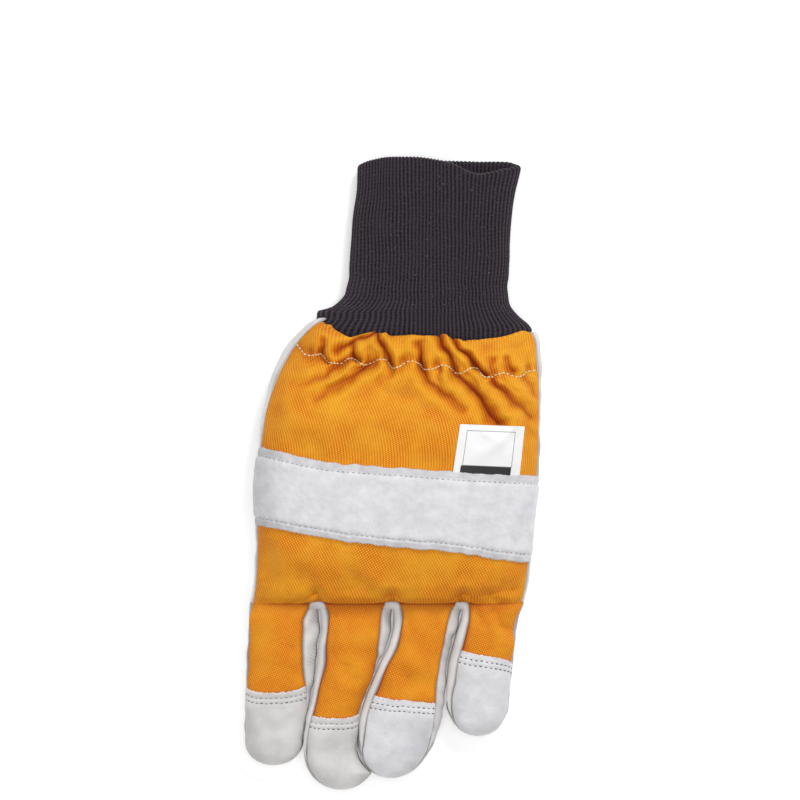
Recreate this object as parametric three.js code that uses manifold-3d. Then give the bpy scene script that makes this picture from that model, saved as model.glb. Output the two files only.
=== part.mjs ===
// A left-hand chainsaw glove lying palm down, thumb folded under the palm, as an assembly of hollow pieces.
// Millimetres. X runs across the hand, thumb side at -X. Y runs from the fingertips to the cuff. Z is up.
// While the pieces are worked out, y = 0 is the line of the finger bases and x = 0 its middle.
// The last step moves the origin to the middle of the footprint, on the surface that the glove lies on.

import * as THREE from 'three';
import { mergeVertices } from 'three/addons/utils/BufferGeometryUtils.js';
import Module from 'manifold-3d';

const wasm = await Module();
wasm.setup();

// Width over the knuckles, shared out to the fingers, and their lengths from there to the tip
const KNUCKLE_WIDTH = 123;
const INDEX_LENGTH = 73.6;
const MIDDLE_LENGTH = 84.6;
const RING_LENGTH = 79.4;
const LITTLE_LENGTH = 60.4;
const FINGER_HEIGHT = 20;
const FINGER_GAP = 0.6;
const TIP_ROUNDING = 13;

// Hand: finger bases to the cuff seam, and its height over the folded thumb
const HAND_LENGTH = 120;
const HAND_HEIGHT = 38;
const HEM_HEIGHT = 4;
const HEM_REACH = 9;
const FOLD_WIDTH = 4.2;
const FOLD_DEPTH = 4;

// Thumb, folded flat under the palm
const THUMB_LENGTH = 78;
const THUMB_WIDTH = 31;
const THUMB_HEIGHT = 14;
const THUMB_TIP = 9;
const THUMB_MOUTH_LENGTH = 30;
const THUMB_MOUTH_WIDTH = 20;

// Knitted cuff, a double layer
const CUFF_LENGTH = 79;
const CUFF_WIDTH = 72;
const CUFF_HEIGHT = 18;
const CUFF_WALL = 3;
const CUFF_MIDDLE = 21;
const CUFF_TUCK = 3;
const CUFF_SEAM_START = 4;
const CUFF_SEAM_END = 15;
const RIB_PITCH = 1.8;
const RIB_DEPTH = 0.45;

// Band across the knuckles and the sewn-in label above it
const BAND_WIDTH = 36.5;
const BAND_WALL = 1.2;
const LABEL_WIDTH = 29;
const LABEL_LENGTH = 21.5;
const LABEL_WALL = 0.6;

// Walls
const LEATHER = 1.4;
const FABRIC = 2;
const PADDING = 5;
const CAP_WALL = 1.6;
const CLEARANCE = 0.3;
const CAP_GAP = 0.45;
const LAID_GAP = 0.5;

// Rounding of a section: a higher power is squarer
const TOP_POWER = 2.6;
const UNDER_POWER = 3.2;
const FLATTENING = 1.5;

const HALF = KNUCKLE_WIDTH / 2;
const FINGERS_WIDTH = KNUCKLE_WIDTH - 3 * FINGER_GAP;

// How finely the curved sheets are faceted
const BACK_COLUMNS = 34;
const PALM_COLUMNS = 24;
const THUMB_COLUMNS = 18;
const THUMB_ROW_COUNT = 10;

// Outline and side view of the hand. at: share of HAND_LENGTH from the finger bases.
// left and right: shares of half the knuckle width. top and seam: shares of HAND_HEIGHT.
const HAND_ROWS = [
  { at: 0.0, left: 1.0, right: 1.0, top: 0.62, seam: 0.25 },
  { at: 0.025, left: 0.992, right: 1.015, top: 0.72, seam: 0.26 },
  { at: 0.117, left: 0.971, right: 1.04, top: 0.83, seam: 0.29 },
  { at: 0.275, left: 0.96, right: 1.066, top: 0.94, seam: 0.33 },
  { at: 0.42, left: 0.97, right: 1.092, top: 1.0, seam: 0.36 },
  { at: 0.578, left: 0.943, right: 1.115, top: 1.0, seam: 0.37 },
  { at: 0.717, left: 0.914, right: 1.124, top: 0.94, seam: 0.36 },
  { at: 0.848, left: 0.844, right: 1.128, top: 0.81, seam: 0.32 },
  { at: 0.915, left: 0.785, right: 1.12, top: 0.68, seam: 0.29 },
  { at: 0.958, left: 0.741, right: 1.117, top: 0.65, seam: 0.27 },
  { at: 1.017, left: 0.647, right: 1.088, top: 0.62, seam: 0.26 },
  { at: 1.067, left: 0.522, right: 1.036, top: 0.59, seam: 0.25 },
];

// Where the fabric back stops short of the hand's edges, as shares of the half width.
const BACK_EDGE_ROWS = [
  { at: 0.0, left: 0.975, right: 0.975 },
  { at: 0.45, left: 0.985, right: 0.985 },
  { at: 0.7, left: 0.965, right: 0.98 },
  { at: 0.9, left: 0.94, right: 0.965 },
  { at: 1.067, left: 0.94, right: 0.95 },
];

// Lines between neighbouring fingers. at: share of MIDDLE_LENGTH. The rest: shares of half the knuckle width,
// counted from where each line leaves the hand.
const GAP_ROWS = [
  { at: 0.0, outerLeft: 0.0, first: 0.0, second: 0.0, third: 0.0, outerRight: 0.0 },
  { at: 0.085, outerLeft: -0.01, first: 0.0, second: 0.0, third: -0.017, outerRight: -0.046 },
  { at: 0.14, outerLeft: -0.014, first: -0.003, second: -0.004, third: -0.042, outerRight: -0.058 },
  { at: 0.23, outerLeft: -0.02, first: -0.022, second: -0.034, third: -0.08, outerRight: -0.072 },
  { at: 0.34, outerLeft: -0.026, first: -0.034, second: -0.106, third: -0.115, outerRight: -0.09 },
  { at: 0.5, outerLeft: -0.034, first: -0.07, second: -0.2, third: -0.124, outerRight: -0.112 },
  { at: 0.62, outerLeft: -0.038, first: -0.105, second: -0.246, third: -0.124, outerRight: -0.118 },
  { at: 0.75, outerLeft: -0.044, first: -0.13, second: -0.26, third: -0.124, outerRight: -0.12 },
  { at: 1.0, outerLeft: -0.044, first: -0.138, second: -0.26, third: -0.124, outerRight: -0.12 },
];

// widthShare: of the four fingers' width. tipX: where the tip lies across the finger, from the middle of its base, as a share of its width.
// leftHalf, rightHalf: half widths beside the tip. leftRound, rightRound: lengths over which each side rounds in,
// as shares of the finger's length. capLeft, capMiddle, capRight: where the leather cap starts.
const FINGERS = [
  {
    name: 'index', widthShare: 0.259, length: INDEX_LENGTH, tipX: -0.18,
    leftHalf: 0.404, rightHalf: 0.43, leftRound: 0.156, rightRound: 0.156,
    capLeft: 0.51, capMiddle: 0.54, capRight: 0.497,
  },
  {
    name: 'middle', widthShare: 0.26, length: MIDDLE_LENGTH, tipX: -0.227,
    leftHalf: 0.533, rightHalf: 0.53, leftRound: 0.213, rightRound: 0.213,
    capLeft: 0.591, capMiddle: 0.606, capRight: 0.585,
  },
  {
    name: 'ring', widthShare: 0.256, length: RING_LENGTH, tipX: -0.532,
    leftHalf: 0.5, rightHalf: 0.79, leftRound: 0.22, rightRound: 0.54,
    capLeft: 0.528, capMiddle: 0.554, capRight: 0.573,
  },
  {
    name: 'little', widthShare: 0.225, length: LITTLE_LENGTH, tipX: -0.258,
    leftHalf: 0.513, rightHalf: 0.513, leftRound: 0.265, rightRound: 0.28,
    capLeft: 0.358, capMiddle: 0.41, capRight: 0.455,
  },
];

// Side view of a finger. at: share of its length. top and seam: shares of FINGER_HEIGHT.
const FINGER_ROWS = [
  { at: 0.0, top: 1.0, seam: 0.475 },
  { at: 0.3, top: 0.98, seam: 0.45 },
  { at: 0.6, top: 0.9, seam: 0.42 },
  { at: 0.85, top: 0.8, seam: 0.38 },
  { at: 1.0, top: 0.76, seam: 0.36 },
];

// Where the fabric or cap on a finger ends beside a neighbour, as shares of the half width.
const FINGER_EDGE_ROWS = [
  { at: 0.0, left: 0.8, right: 0.56 },
  { at: 0.25, left: 0.83, right: 0.6 },
  { at: 0.5, left: 0.8, right: 0.74 },
  { at: 0.7, left: 0.84, right: 0.88 },
  { at: 0.85, left: 0.9, right: 0.95 },
  { at: 1.0, left: 0.97, right: 0.97 },
];
const EDGE_SHARE = 0.975;
const STRIP_LOW = -0.52;
const STRIP_REACH = 0.83;
const STRIP_CLOSED = 0.9;
const ANGLE_GAP = 0.04;
const STRIP_GAP = 0.075;

// Gathers at the wrist. at: place on the elastic's stitch line, hem: on the hem, drift: where the fold dies out,
// all as shares of half the knuckle width. reach: how far below the stitch line, as a share of HAND_LENGTH.
const FOLD_ROWS = [
  { at: -0.6, hem: -0.6, drift: -0.64, reach: 0.08, depth: 0.4 },
  { at: -0.44, hem: -0.478, drift: -0.52, reach: 0.1, depth: 0.7 },
  { at: -0.26, hem: -0.295, drift: -0.6, reach: 0.2, depth: 0.7 },
  { at: -0.142, hem: -0.185, drift: -0.5, reach: 0.18, depth: 0.9 },
  { at: 0.027, hem: -0.083, drift: -0.02, reach: 0.12, depth: 0.6 },
  { at: 0.268, hem: 0.217, drift: 0.363, reach: 0.2, depth: 0.8 },
  { at: 0.53, hem: 0.334, drift: 0.84, reach: 0.36, depth: 1.0 },
  { at: 0.736, hem: 0.473, drift: 0.98, reach: 0.24, depth: 1.0 },
  { at: 0.875, hem: 0.846, drift: 0.95, reach: 0.1, depth: 0.4 },
];
const STITCH_LINE = 0.905;

// The scalloped hem of the fabric back. x: share of half the knuckle width. at: share of HAND_LENGTH.
const HEM_ROWS = [
  { x: -0.75, at: 1.0 },
  { x: -0.64, at: 1.016 },
  { x: -0.5, at: 1.04 },
  { x: -0.36, at: 1.012 },
  { x: -0.27, at: 0.992 },
  { x: -0.15, at: 1.022 },
  { x: -0.07, at: 1.026 },
  { x: 0.05, at: 0.994 },
  { x: 0.36, at: 0.99 },
  { x: 0.47, at: 1.014 },
  { x: 0.58, at: 0.968 },
  { x: 0.74, at: 0.972 },
  { x: 0.88, at: 0.987 },
  { x: 1.0, at: 1.004 },
  { x: 1.1, at: 1.02 },
];

// The cuff. at: share of CUFF_LENGTH from its seam. left and right: shares of half the cuff's width. top: share of
// CUFF_HEIGHT.
const CUFF_ROWS = [
  { at: 0.0, left: -1.5, right: 1.26, top: 1.1 },
  { at: 0.076, left: -1.44, right: 1.19, top: 1.1 },
  { at: 0.14, left: -1.28, right: 1.06, top: 1.06 },
  { at: 0.2, left: -1.16, right: 0.98, top: 1.02 },
  { at: 0.26, left: -1.1, right: 0.945, top: 0.98 },
  { at: 0.38, left: -1.04, right: 0.93, top: 0.93 },
  { at: 0.6, left: -0.99, right: 1.0, top: 0.9 },
  { at: 0.8, left: -0.965, right: 1.07, top: 0.9 },
  { at: 1.0, left: -0.95, right: 1.12, top: 0.88 },
];
const CUFF_SEAM_HEIGHT = 0.42;
const MOUTH_DIP = 5;

// The edges of the knuckle band, x: share of half the knuckle width, near and far: shares of HAND_LENGTH.
const BAND_ROWS = [
  { x: -1.0, near: 0.285 },
  { x: -0.64, near: 0.256 },
  { x: -0.27, near: 0.212 },
  { x: 0.09, near: 0.192 },
  { x: 0.46, near: 0.172 },
  { x: 0.82, near: 0.148 },
  { x: 1.1, near: 0.132 },
];
const BAND_SPREAD = 0.035;
const LABEL_X = 0.79;
const LABEL_LEAN = 0.08;

// The folded thumb's line. at: share of its length from the tip. x: share of half the knuckle width.
// half: share of half the thumb's width. top: share of the thumb's height.
const THUMB_ROWS = [
  { at: 0.0, x: -0.33, half: 0.82, top: 0.9 },
  { at: 0.25, x: -0.37, half: 0.93, top: 0.96 },
  { at: 0.5, x: -0.43, half: 1.0, top: 1.0 },
  { at: 0.75, x: -0.5, half: 1.04, top: 1.0 },
  { at: 1.0, x: -0.54, half: 1.0, top: 1.0 },
];
const THUMB_SEAM = 0.46;
const THUMB_ROUND = 0.2;
const MOUTH_AT = 0.74;

const clamp = (v, low, high) => Math.min(high, Math.max(low, v));
const mix = (a, b, t) => a + (b - a) * t;
const step = (v, from, to) => {
  const t = clamp((v - from) / (to - from), 0, 1);
  return t * t * (3 - 2 * t);
};
const signedPower = (v, power) => Math.sign(v) * Math.abs(v) ** power;

// A smooth curve through one column of a table, read at a place in its key column.
function read(rows, column, place, key = 'at') {
  const last = rows.length - 1;
  if (place <= rows[0][key]) return rows[0][column];
  if (place >= rows[last][key]) return rows[last][column];
  const i = rows.findIndex((row) => row[key] > place) - 1;
  const [a, b] = [rows[i], rows[i + 1]];
  const span = b[key] - a[key];
  const slope = (p, q) => (q[column] - p[column]) / (q[key] - p[key]);
  const here = slope(a, b);
  const before = i > 0 ? slope(rows[i - 1], a) : here;
  const after = i + 2 <= last ? slope(b, rows[i + 2]) : here;
  const tangent = (p, q) => (p * q <= 0 ? 0 : (2 * p * q) / (p + q));
  const [m0, m1] = [tangent(before, here) * span, tangent(here, after) * span];
  const t = (place - a[key]) / span;
  const t2 = t * t;
  const t3 = t2 * t;
  return a[column] * (2 * t3 - 3 * t2 + 1) + m0 * (t3 - 2 * t2 + t)
    + b[column] * (3 * t2 - 2 * t3) + m1 * (t3 - t2);
}

// Places along a curve, from 0 to 1, that cut it into parts of one length.
function evenly(curve, parts) {
  const samples = 720;
  const lengths = [0];
  for (let k = 1; k <= samples; k += 1) {
    lengths.push(lengths[k - 1] + curve((k - 1) / samples).distanceTo(curve(k / samples)));
  }
  return Array.from({ length: parts + 1 }, (_, n) => {
    const wanted = lengths[samples] * n / parts;
    const k = clamp(lengths.findIndex((length) => length >= wanted), 1, samples);
    return (k - 1 + (wanted - lengths[k - 1]) / (lengths[k] - lengths[k - 1])) / samples;
  });
}
const station = (list, share) => list[Math.round(share * (list.length - 1))];

// A closed solid from a grid of outer points and a grid of inner points.
function wall(rows, columns, outer, inner) {
  const points = [];
  for (const surface of [outer, inner]) {
    for (let i = 0; i <= rows; i += 1) {
      for (let j = 0; j <= columns; j += 1) points.push(surface(i / rows, j / columns));
    }
  }
  const across = columns + 1;
  const innerStart = (rows + 1) * across;
  const faces = [];
  const quad = (a, b, c, d) => faces.push([a, b, c], [a, c, d]);
  for (let i = 0; i < rows; i += 1) {
    for (let j = 0; j < columns; j += 1) {
      const k = i * across + j;
      quad(k, k + 1, k + across + 1, k + across);
      const m = k + innerStart;
      quad(m, m + across, m + across + 1, m + 1);
    }
  }
  for (let j = 0; j < columns; j += 1) {
    const end = rows * across + j;
    quad(j + 1, j, j + innerStart, j + 1 + innerStart);
    quad(end, end + 1, end + 1 + innerStart, end + innerStart);
  }
  for (let i = 0; i < rows; i += 1) {
    const [a, b] = [i * across, (i + 1) * across];
    quad(a, b, b + innerStart, a + innerStart);
    quad(b + columns, a + columns, a + columns + innerStart, b + columns + innerStart);
  }
  return solidFrom(points, faces);
}

// A closed solid from rings of points, one ring a row, closed at both ends by a fan.
function tube(rows, columns, point) {
  const points = [];
  const faces = [];
  for (let i = 0; i <= rows; i += 1) {
    for (let j = 0; j < columns; j += 1) points.push(point(i / rows, j));
  }
  const ringMiddle = (i) => {
    const middle = new THREE.Vector3();
    for (let j = 0; j < columns; j += 1) middle.add(points[i * columns + j]);
    return middle.divideScalar(columns);
  };
  const [first, last] = [ringMiddle(0), ringMiddle(rows)];
  const start = points.push(first) - 1;
  const end = points.push(last) - 1;
  for (let j = 0; j < columns; j += 1) {
    const next = (j + 1) % columns;
    for (let i = 0; i < rows; i += 1) {
      const [a, b] = [i * columns, (i + 1) * columns];
      faces.push([a + j, a + next, b + next], [a + j, b + next, b + j]);
    }
    faces.push([start, next, j], [end, rows * columns + j, rows * columns + next]);
  }
  return solidFrom(points, faces);
}

// Merges doubled points, drops faces that collapsed and turns the faces outwards.
function solidFrom(points, faces) {
  const flat = new Float32Array(points.flatMap((p) => [p.x, p.y, p.z]));
  const geometry = new THREE.BufferGeometry();
  geometry.setAttribute('position', new THREE.BufferAttribute(flat, 3));
  geometry.setIndex(faces.flat());
  const merged = mergeVertices(geometry, 1e-3);
  const [index, at] = [merged.index.array, merged.attributes.position.array];
  const kept = [];
  for (let i = 0; i < index.length; i += 3) {
    const [a, b, c] = [index[i], index[i + 1], index[i + 2]];
    if (a !== b && b !== c && c !== a) kept.push(a, b, c);
  }
  const make = (triangles) => new wasm.Manifold(new wasm.Mesh({
    numProp: 3,
    vertProperties: new Float32Array(at),
    triVerts: new Uint32Array(triangles),
  }));
  const solid = make(kept);
  if (solid.volume() > 0) return solid;
  for (let i = 0; i < kept.length; i += 3) [kept[i + 1], kept[i + 2]] = [kept[i + 2], kept[i + 1]];
  return make(kept);
}

// The thumb's line and section at a distance y from the finger bases
function thumbSection(y, inset) {
  const length = THUMB_LENGTH;
  const at = clamp((y - THUMB_TIP) / length, 0, 1);
  const round = THUMB_ROUND * length;
  const fromEnd = Math.min(y - THUMB_TIP, THUMB_TIP + length - y);
  const q = clamp((round - fromEnd) / (round - inset), 0, 1);
  const shrink = Math.sqrt(1 - q * q);
  return {
    middle: read(THUMB_ROWS, 'x', at) * HALF,
    half: (read(THUMB_ROWS, 'half', at) * THUMB_WIDTH / 2 - inset) * shrink,
    top: read(THUMB_ROWS, 'top', at) * THUMB_HEIGHT,
    shrink,
  };
}

function thumbPoint(y, angle, inset) {
  const { middle, half, top, shrink } = thumbSection(y, inset);
  const seam = THUMB_SEAM * THUMB_HEIGHT;
  const power = 2 / TOP_POWER;
  const x = middle + half * signedPower(Math.cos(angle), power);
  const rise = signedPower(Math.sin(angle), power) * shrink;
  if (rise >= 0) return new THREE.Vector3(x, y, seam + (top - seam - inset) * rise);
  const z = seam + (seam + FLATTENING - inset) * rise;
  return new THREE.Vector3(x, y, Math.max(z, inset));
}

// How much the folded thumb lifts the palm at a place: 1 right over it, 0 away from it
function thumbLift(x, y) {
  const { middle } = thumbSection(y, 0);
  const half = THUMB_WIDTH / 2;
  const side = 1 - step(Math.abs(x - middle) / half, 1.05, 1.75);
  const end = THUMB_TIP + THUMB_LENGTH;
  return side * step(y, 0, THUMB_TIP + 1) * (1 - step(y, end, end + THUMB_WIDTH / 2));
}

// The underside of hand and fingers lies on the surface, or over the thumb
function underside(x, y, z, inset) {
  const flat = Math.max(z, inset);
  const lifted = THUMB_HEIGHT + CLEARANCE + inset;
  return flat + Math.max(0, lifted - flat) * thumbLift(x, y);
}

function handSection(y) {
  const at = y / HAND_LENGTH;
  return {
    left: -read(HAND_ROWS, 'left', at) * HALF,
    right: read(HAND_ROWS, 'right', at) * HALF,
    top: read(HAND_ROWS, 'top', at) * HAND_HEIGHT,
    seam: read(HAND_ROWS, 'seam', at) * HAND_HEIGHT,
  };
}

function handPoint(y, angle, inset) {
  const { left, right, top, seam } = handSection(y);
  const half = (right - left) / 2 - inset;
  const under = Math.sin(angle) < 0;
  const power = 2 / (under ? UNDER_POWER : TOP_POWER);
  const x = (left + right) / 2 + half * signedPower(Math.cos(angle), power);
  const rise = signedPower(Math.sin(angle), power);
  if (!under) return new THREE.Vector3(x, y, seam + (top - seam - inset) * rise);
  const z = seam + (seam + FLATTENING - inset) * rise;
  return new THREE.Vector3(x, y, underside(x, y, z, inset));
}

// The angle at which a section reaches a share of its half width
const edgeAngle = (share) => Math.acos(Math.min(1, share) ** (TOP_POWER / 2));

// Angles of the hand's edges at a place along it, right side then left side
function handAngles(y) {
  const at = y / HAND_LENGTH;
  return {
    right: edgeAngle(read(BACK_EDGE_ROWS, 'right', at)),
    left: Math.PI - edgeAngle(read(BACK_EDGE_ROWS, 'left', at)),
  };
}

// Folds of the gathered fabric: valleys below the elastic's stitches, ridges above them
function gather(x, y) {
  const stitches = STITCH_LINE * HAND_LENGTH;
  const hem = HAND_LENGTH;
  let valley = 0;
  let gap = 0;
  for (const fold of FOLD_ROWS) {
    const above = clamp((y - stitches) / (hem - stitches), 0, 1.4);
    const below = clamp((stitches - y) / (fold.reach * HAND_LENGTH), 0, 1);
    const share = y > stitches ? mix(fold.at, fold.hem, above) : mix(fold.at, fold.drift, below);
    const width = FOLD_WIDTH * (1 + 0.8 * below);
    const near = Math.exp(-(((x - share * HALF) / width) ** 2));
    gap = Math.max(gap, near * Math.min(1, 0.5 + fold.depth / 2));
    valley += near * fold.depth * (y > stitches ? 0 : (1 - below) * step(below, -0.1, 0.3));
  }
  const ridge = HEM_HEIGHT * (1 - gap) * step(y, stitches - HEM_REACH, stitches + HEM_REACH);
  return ridge - FOLD_DEPTH * Math.min(valley, 1);
}

function fabricWall(y) {
  const padded = step(y, 0, 6) * (1 - step(y, 0.8 * HAND_LENGTH, STITCH_LINE * HAND_LENGTH));
  return mix(FABRIC, PADDING, padded);
}

// The back of the hand: gathered at the wrist, padded over the hand
const hemAt = (x) => read(HEM_ROWS, 'at', x / HALF, 'x') * HAND_LENGTH;

function backSurface(along, across, inner) {
  const nominal = along * HAND_LENGTH * 0.99;
  const at = nominal / HAND_LENGTH;
  const { right, left } = handAngles(nominal);
  const angle = mix(right, left, across);
  const probe = handPoint(nominal, angle, 0);
  const y = nominal + (hemAt(probe.x) - HAND_LENGTH * 0.99) * step(at, 0.86, 0.99);
  const point = handPoint(y, angle, inner ? fabricWall(y) : 0);
  const crown = Math.sin(angle) ** 0.6;
  const folds = gather(probe.x, y) * crown;
  const carried = inner ? step(y, 0.84 * HAND_LENGTH, STITCH_LINE * HAND_LENGTH) : 1;
  point.z += folds * carried;
  return point;
}

const HAND_STATIONS = [0, 0.018, 0.05, 0.12, 0.22, 0.34, 0.46, 0.58, 0.68, 0.76, 0.83, 0.88, 0.92, 0.96, 1];
const BACK_SPREAD = evenly((t) => backSurface(0.5, t, false), BACK_COLUMNS);

const backPanel = wall(
  HAND_STATIONS.length - 1, BACK_SPREAD.length - 1,
  (u, v) => backSurface(station(HAND_STATIONS, u), station(BACK_SPREAD, v), false),
  (u, v) => backSurface(station(HAND_STATIONS, u), station(BACK_SPREAD, v), true),
);

// Fingers
const BASES = [];
let baseLeft = -HALF;
for (const finger of FINGERS) {
  finger.width = finger.widthShare * FINGERS_WIDTH;
  BASES.push({ left: baseLeft, right: baseLeft + finger.width });
  baseLeft += finger.width + FINGER_GAP;
}
const GAP_COLUMNS = ['outerLeft', 'first', 'second', 'third', 'outerRight'];
const gapShift = (line, d) => read(GAP_ROWS, GAP_COLUMNS[line], d / MIDDLE_LENGTH) * HALF;

// How far a side has closed in towards the tip, 1 where it hasn't and 0 at the tip
function closing(d, length, round, inset) {
  const q = clamp((d - (length - round)) / (round - inset), 0, 1);
  return { share: Math.sqrt(1 - q * q), started: q > 0 };
}

function fingerLeft(i, d, inset) {
  const finger = FINGERS[i];
  const line = BASES[i].left + gapShift(i, d);
  const tip = (BASES[i].left + BASES[i].right) / 2 + finger.tipX * finger.width;
  const close = closing(d, finger.length, finger.leftRound * finger.length, inset);
  const side = tip - (finger.leftHalf * finger.width - inset) * close.share;
  return close.started ? Math.max(line + inset, side) : line + inset;
}

function fingerRight(i, d, inset) {
  const finger = FINGERS[i];
  const next = FINGERS[i + 1];
  let line = BASES[i].right + gapShift(i + 1, d);
  if (next && d < next.length) line = fingerLeft(i + 1, d, 0) - FINGER_GAP;
  if (next && d >= next.length) line = Infinity;
  const tip = (BASES[i].left + BASES[i].right) / 2 + finger.tipX * finger.width;
  const close = closing(d, finger.length, finger.rightRound * finger.length, inset);
  const side = tip + (finger.rightHalf * finger.width - inset) * close.share;
  return close.started ? Math.min(line - inset, side) : line - inset;
}

// apart: 1 for the upper pieces and -1 for the palm, which part a little at the tip
function fingerPoint(i, d, angle, inset, apart) {
  const finger = FINGERS[i];
  const at = d / finger.length;
  const [left, right] = [fingerLeft(i, d, inset), fingerRight(i, d, inset)];
  const half = Math.max(0, (right - left) / 2);
  const close = closing(d, finger.length, TIP_ROUNDING, inset).share;
  const top = read(FINGER_ROWS, 'top', at) * FINGER_HEIGHT;
  const seam = read(FINGER_ROWS, 'seam', at) * FINGER_HEIGHT;
  const under = Math.sin(angle) < 0;
  const power = 2 / (under ? UNDER_POWER : TOP_POWER);
  const x = (left + right) / 2 + half * signedPower(Math.cos(angle), power);
  const rise = signedPower(Math.sin(angle), power) * close;
  const z = seam + ((under ? seam + FLATTENING : top - seam) - inset) * rise;
  return new THREE.Vector3(x, -d, Math.max(z + apart * CLEARANCE / 2 * (1 - close), inset));
}

// Angles where the upper pieces of a finger end, right side then left side
function upperAngles(i, d) {
  const at = d / FINGERS[i].length;
  const right = i === FINGERS.length - 1 ? EDGE_SHARE : read(FINGER_EDGE_ROWS, 'right', at);
  const left = i === 0 ? EDGE_SHARE : read(FINGER_EDGE_ROWS, 'left', at);
  return { right: edgeAngle(right), left: Math.PI - edgeAngle(left) };
}

// Angles where the palm's front of a finger ends: low beside a neighbour, up to the upper piece elsewhere
function palmAngles(i, d) {
  const at = Math.max(0, d) / FINGERS[i].length;
  const upper = upperAngles(i, d);
  const close = step(at, STRIP_CLOSED - 0.24, STRIP_CLOSED);
  const right = upper.right - ANGLE_GAP;
  const left = upper.left + ANGLE_GAP;
  return {
    right: i === FINGERS.length - 1 ? right : mix(STRIP_LOW, right, close),
    left: i === 0 ? left : mix(Math.PI - STRIP_LOW, left, close),
  };
}

// The share of a finger where its cap starts, at a place across it
function capStart(finger, across) {
  const bulge = 1 - (2 * across - 1) ** 2;
  const straight = mix(finger.capRight, finger.capLeft, across);
  return (straight + (finger.capMiddle - (finger.capLeft + finger.capRight) / 2) * bulge) * finger.length;
}

// Places across the upper pieces and across the front of a finger
const acrossUpper = (t) => fingerPoint(1, MIDDLE_LENGTH / 2, Math.PI * mix(0.15, 0.85, t), 0, 0);
const acrossFront = (t) => fingerPoint(1, MIDDLE_LENGTH / 2, -Math.PI * mix(0.16, 0.84, t), 0, 0);
const UPPER_SPREAD = evenly(acrossUpper, 9);
const FRONT_SPREAD = evenly(acrossFront, 7);

function fingerBack(i) {
  const finger = FINGERS[i];
  const surface = (inset) => (u, v) => {
    const across = station(UPPER_SPREAD, v);
    const d = mix(CLEARANCE, capStart(finger, across) - CAP_GAP, u);
    const { right, left } = upperAngles(i, d);
    return fingerPoint(i, d, mix(right, left, across), inset, 1);
  };
  return wall(5, UPPER_SPREAD.length - 1, surface(0), surface(FABRIC));
}

// Rows over the fingertip, and the rows from a cap's edge to them
const TIP_STATIONS = [STRIP_REACH, 0.89, 0.95, 0.985, 1];
const CAP_STATIONS = [0, STRIP_REACH / 2, ...TIP_STATIONS];

// The distance of a row from the finger's base: even from the first row to the tip rows, then up to the tip's wall
function rowAt(finger, share, first, inset) {
  const tipStart = STRIP_REACH * finger.length;
  if (share <= STRIP_REACH) return mix(first, tipStart, share / STRIP_REACH);
  return mix(tipStart, finger.length - inset, (share - STRIP_REACH) / (1 - STRIP_REACH));
}

function tipCap(i) {
  const finger = FINGERS[i];
  const surface = (inset) => (u, v) => {
    const across = station(UPPER_SPREAD, v);
    const d = rowAt(finger, station(CAP_STATIONS, u), capStart(finger, across), inset);
    const { right, left } = upperAngles(i, d);
    return fingerPoint(i, d, mix(right, left, across), inset, 1);
  };
  return wall(CAP_STATIONS.length - 1, UPPER_SPREAD.length - 1, surface(0), surface(CAP_WALL));
}

// Rows along the front of a finger, as shares of its length. The side strips share the rows from 0 to their reach.
const STRIP_STATIONS = [0, 0.1, 0.24, 0.42, 0.6, 0.68, 0.76, STRIP_REACH];
const FINGER_STATIONS = [...STRIP_STATIONS.slice(0, -1), ...TIP_STATIONS];

// The leather strip between two fingers runs down one side, round the crotch and along the other
function sideStrip(i) {
  const [one, two] = [FINGERS[i], FINGERS[i + 1]];
  const legs = STRIP_STATIONS.length - 1;
  const turns = 4;
  const rows = 2 * legs + turns;
    const surface = (inset) => (u, v) => {
    const k = Math.round(u * rows);
    const onSide = (n, d, right) => {
      const [upper, palm] = [upperAngles(n, d), palmAngles(n, d)];
      const low = right ? palm.right + STRIP_GAP : palm.left - STRIP_GAP;
      const high = right ? upper.right - STRIP_GAP : upper.left + STRIP_GAP;
      return fingerPoint(n, d, mix(low, high, v), inset, 0);
    };
    if (k <= legs) return onSide(i, one.length * STRIP_STATIONS[legs - k], true);
    if (k >= legs + turns) return onSide(i + 1, two.length * STRIP_STATIONS[k - legs - turns], false);
    const [from, to] = [onSide(i, 0, true), onSide(i + 1, 0, false)];
    const turn = Math.PI * (k - legs) / turns;
    const point = from.lerp(to, (1 - Math.cos(turn)) / 2);
    point.y += Math.sin(turn) * (FINGER_GAP / 2 + inset);
    return point;
  };
  return wall(rows, 3, surface(0), surface(LEATHER));
}

// The leather under the hand
function palmHand() {
  const surface = (inset) => (u, v) => {
    const y = u * HAND_LENGTH * 1.01;
    const { right, left } = handAngles(y);
    return handPoint(y, mix(right - ANGLE_GAP / 2, left + ANGLE_GAP / 2 - 2 * Math.PI, v), inset);
  };
  const spread = evenly((t) => surface(0)(0.4, t), PALM_COLUMNS);
  const row = (inset) => (u, v) => surface(inset)(station(HAND_STATIONS, u), station(spread, v));
  return wall(HAND_STATIONS.length - 1, spread.length - 1, row(0), row(LEATHER));
}

// The leather front of a finger, sewn to the palm at the finger's base
function fingerFront(i) {
  const finger = FINGERS[i];
  const surface = (inset) => (u, v) => {
    const d = rowAt(finger, station(FINGER_STATIONS, u), 0, inset) + CLEARANCE * (u === 0);
    const { right, left } = palmAngles(i, d);
    return fingerPoint(i, d, mix(right, left - 2 * Math.PI, station(FRONT_SPREAD, v)), inset, -1);
  };
  return wall(FINGER_STATIONS.length - 1, FRONT_SPREAD.length - 1, surface(0), surface(LEATHER));
}

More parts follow.
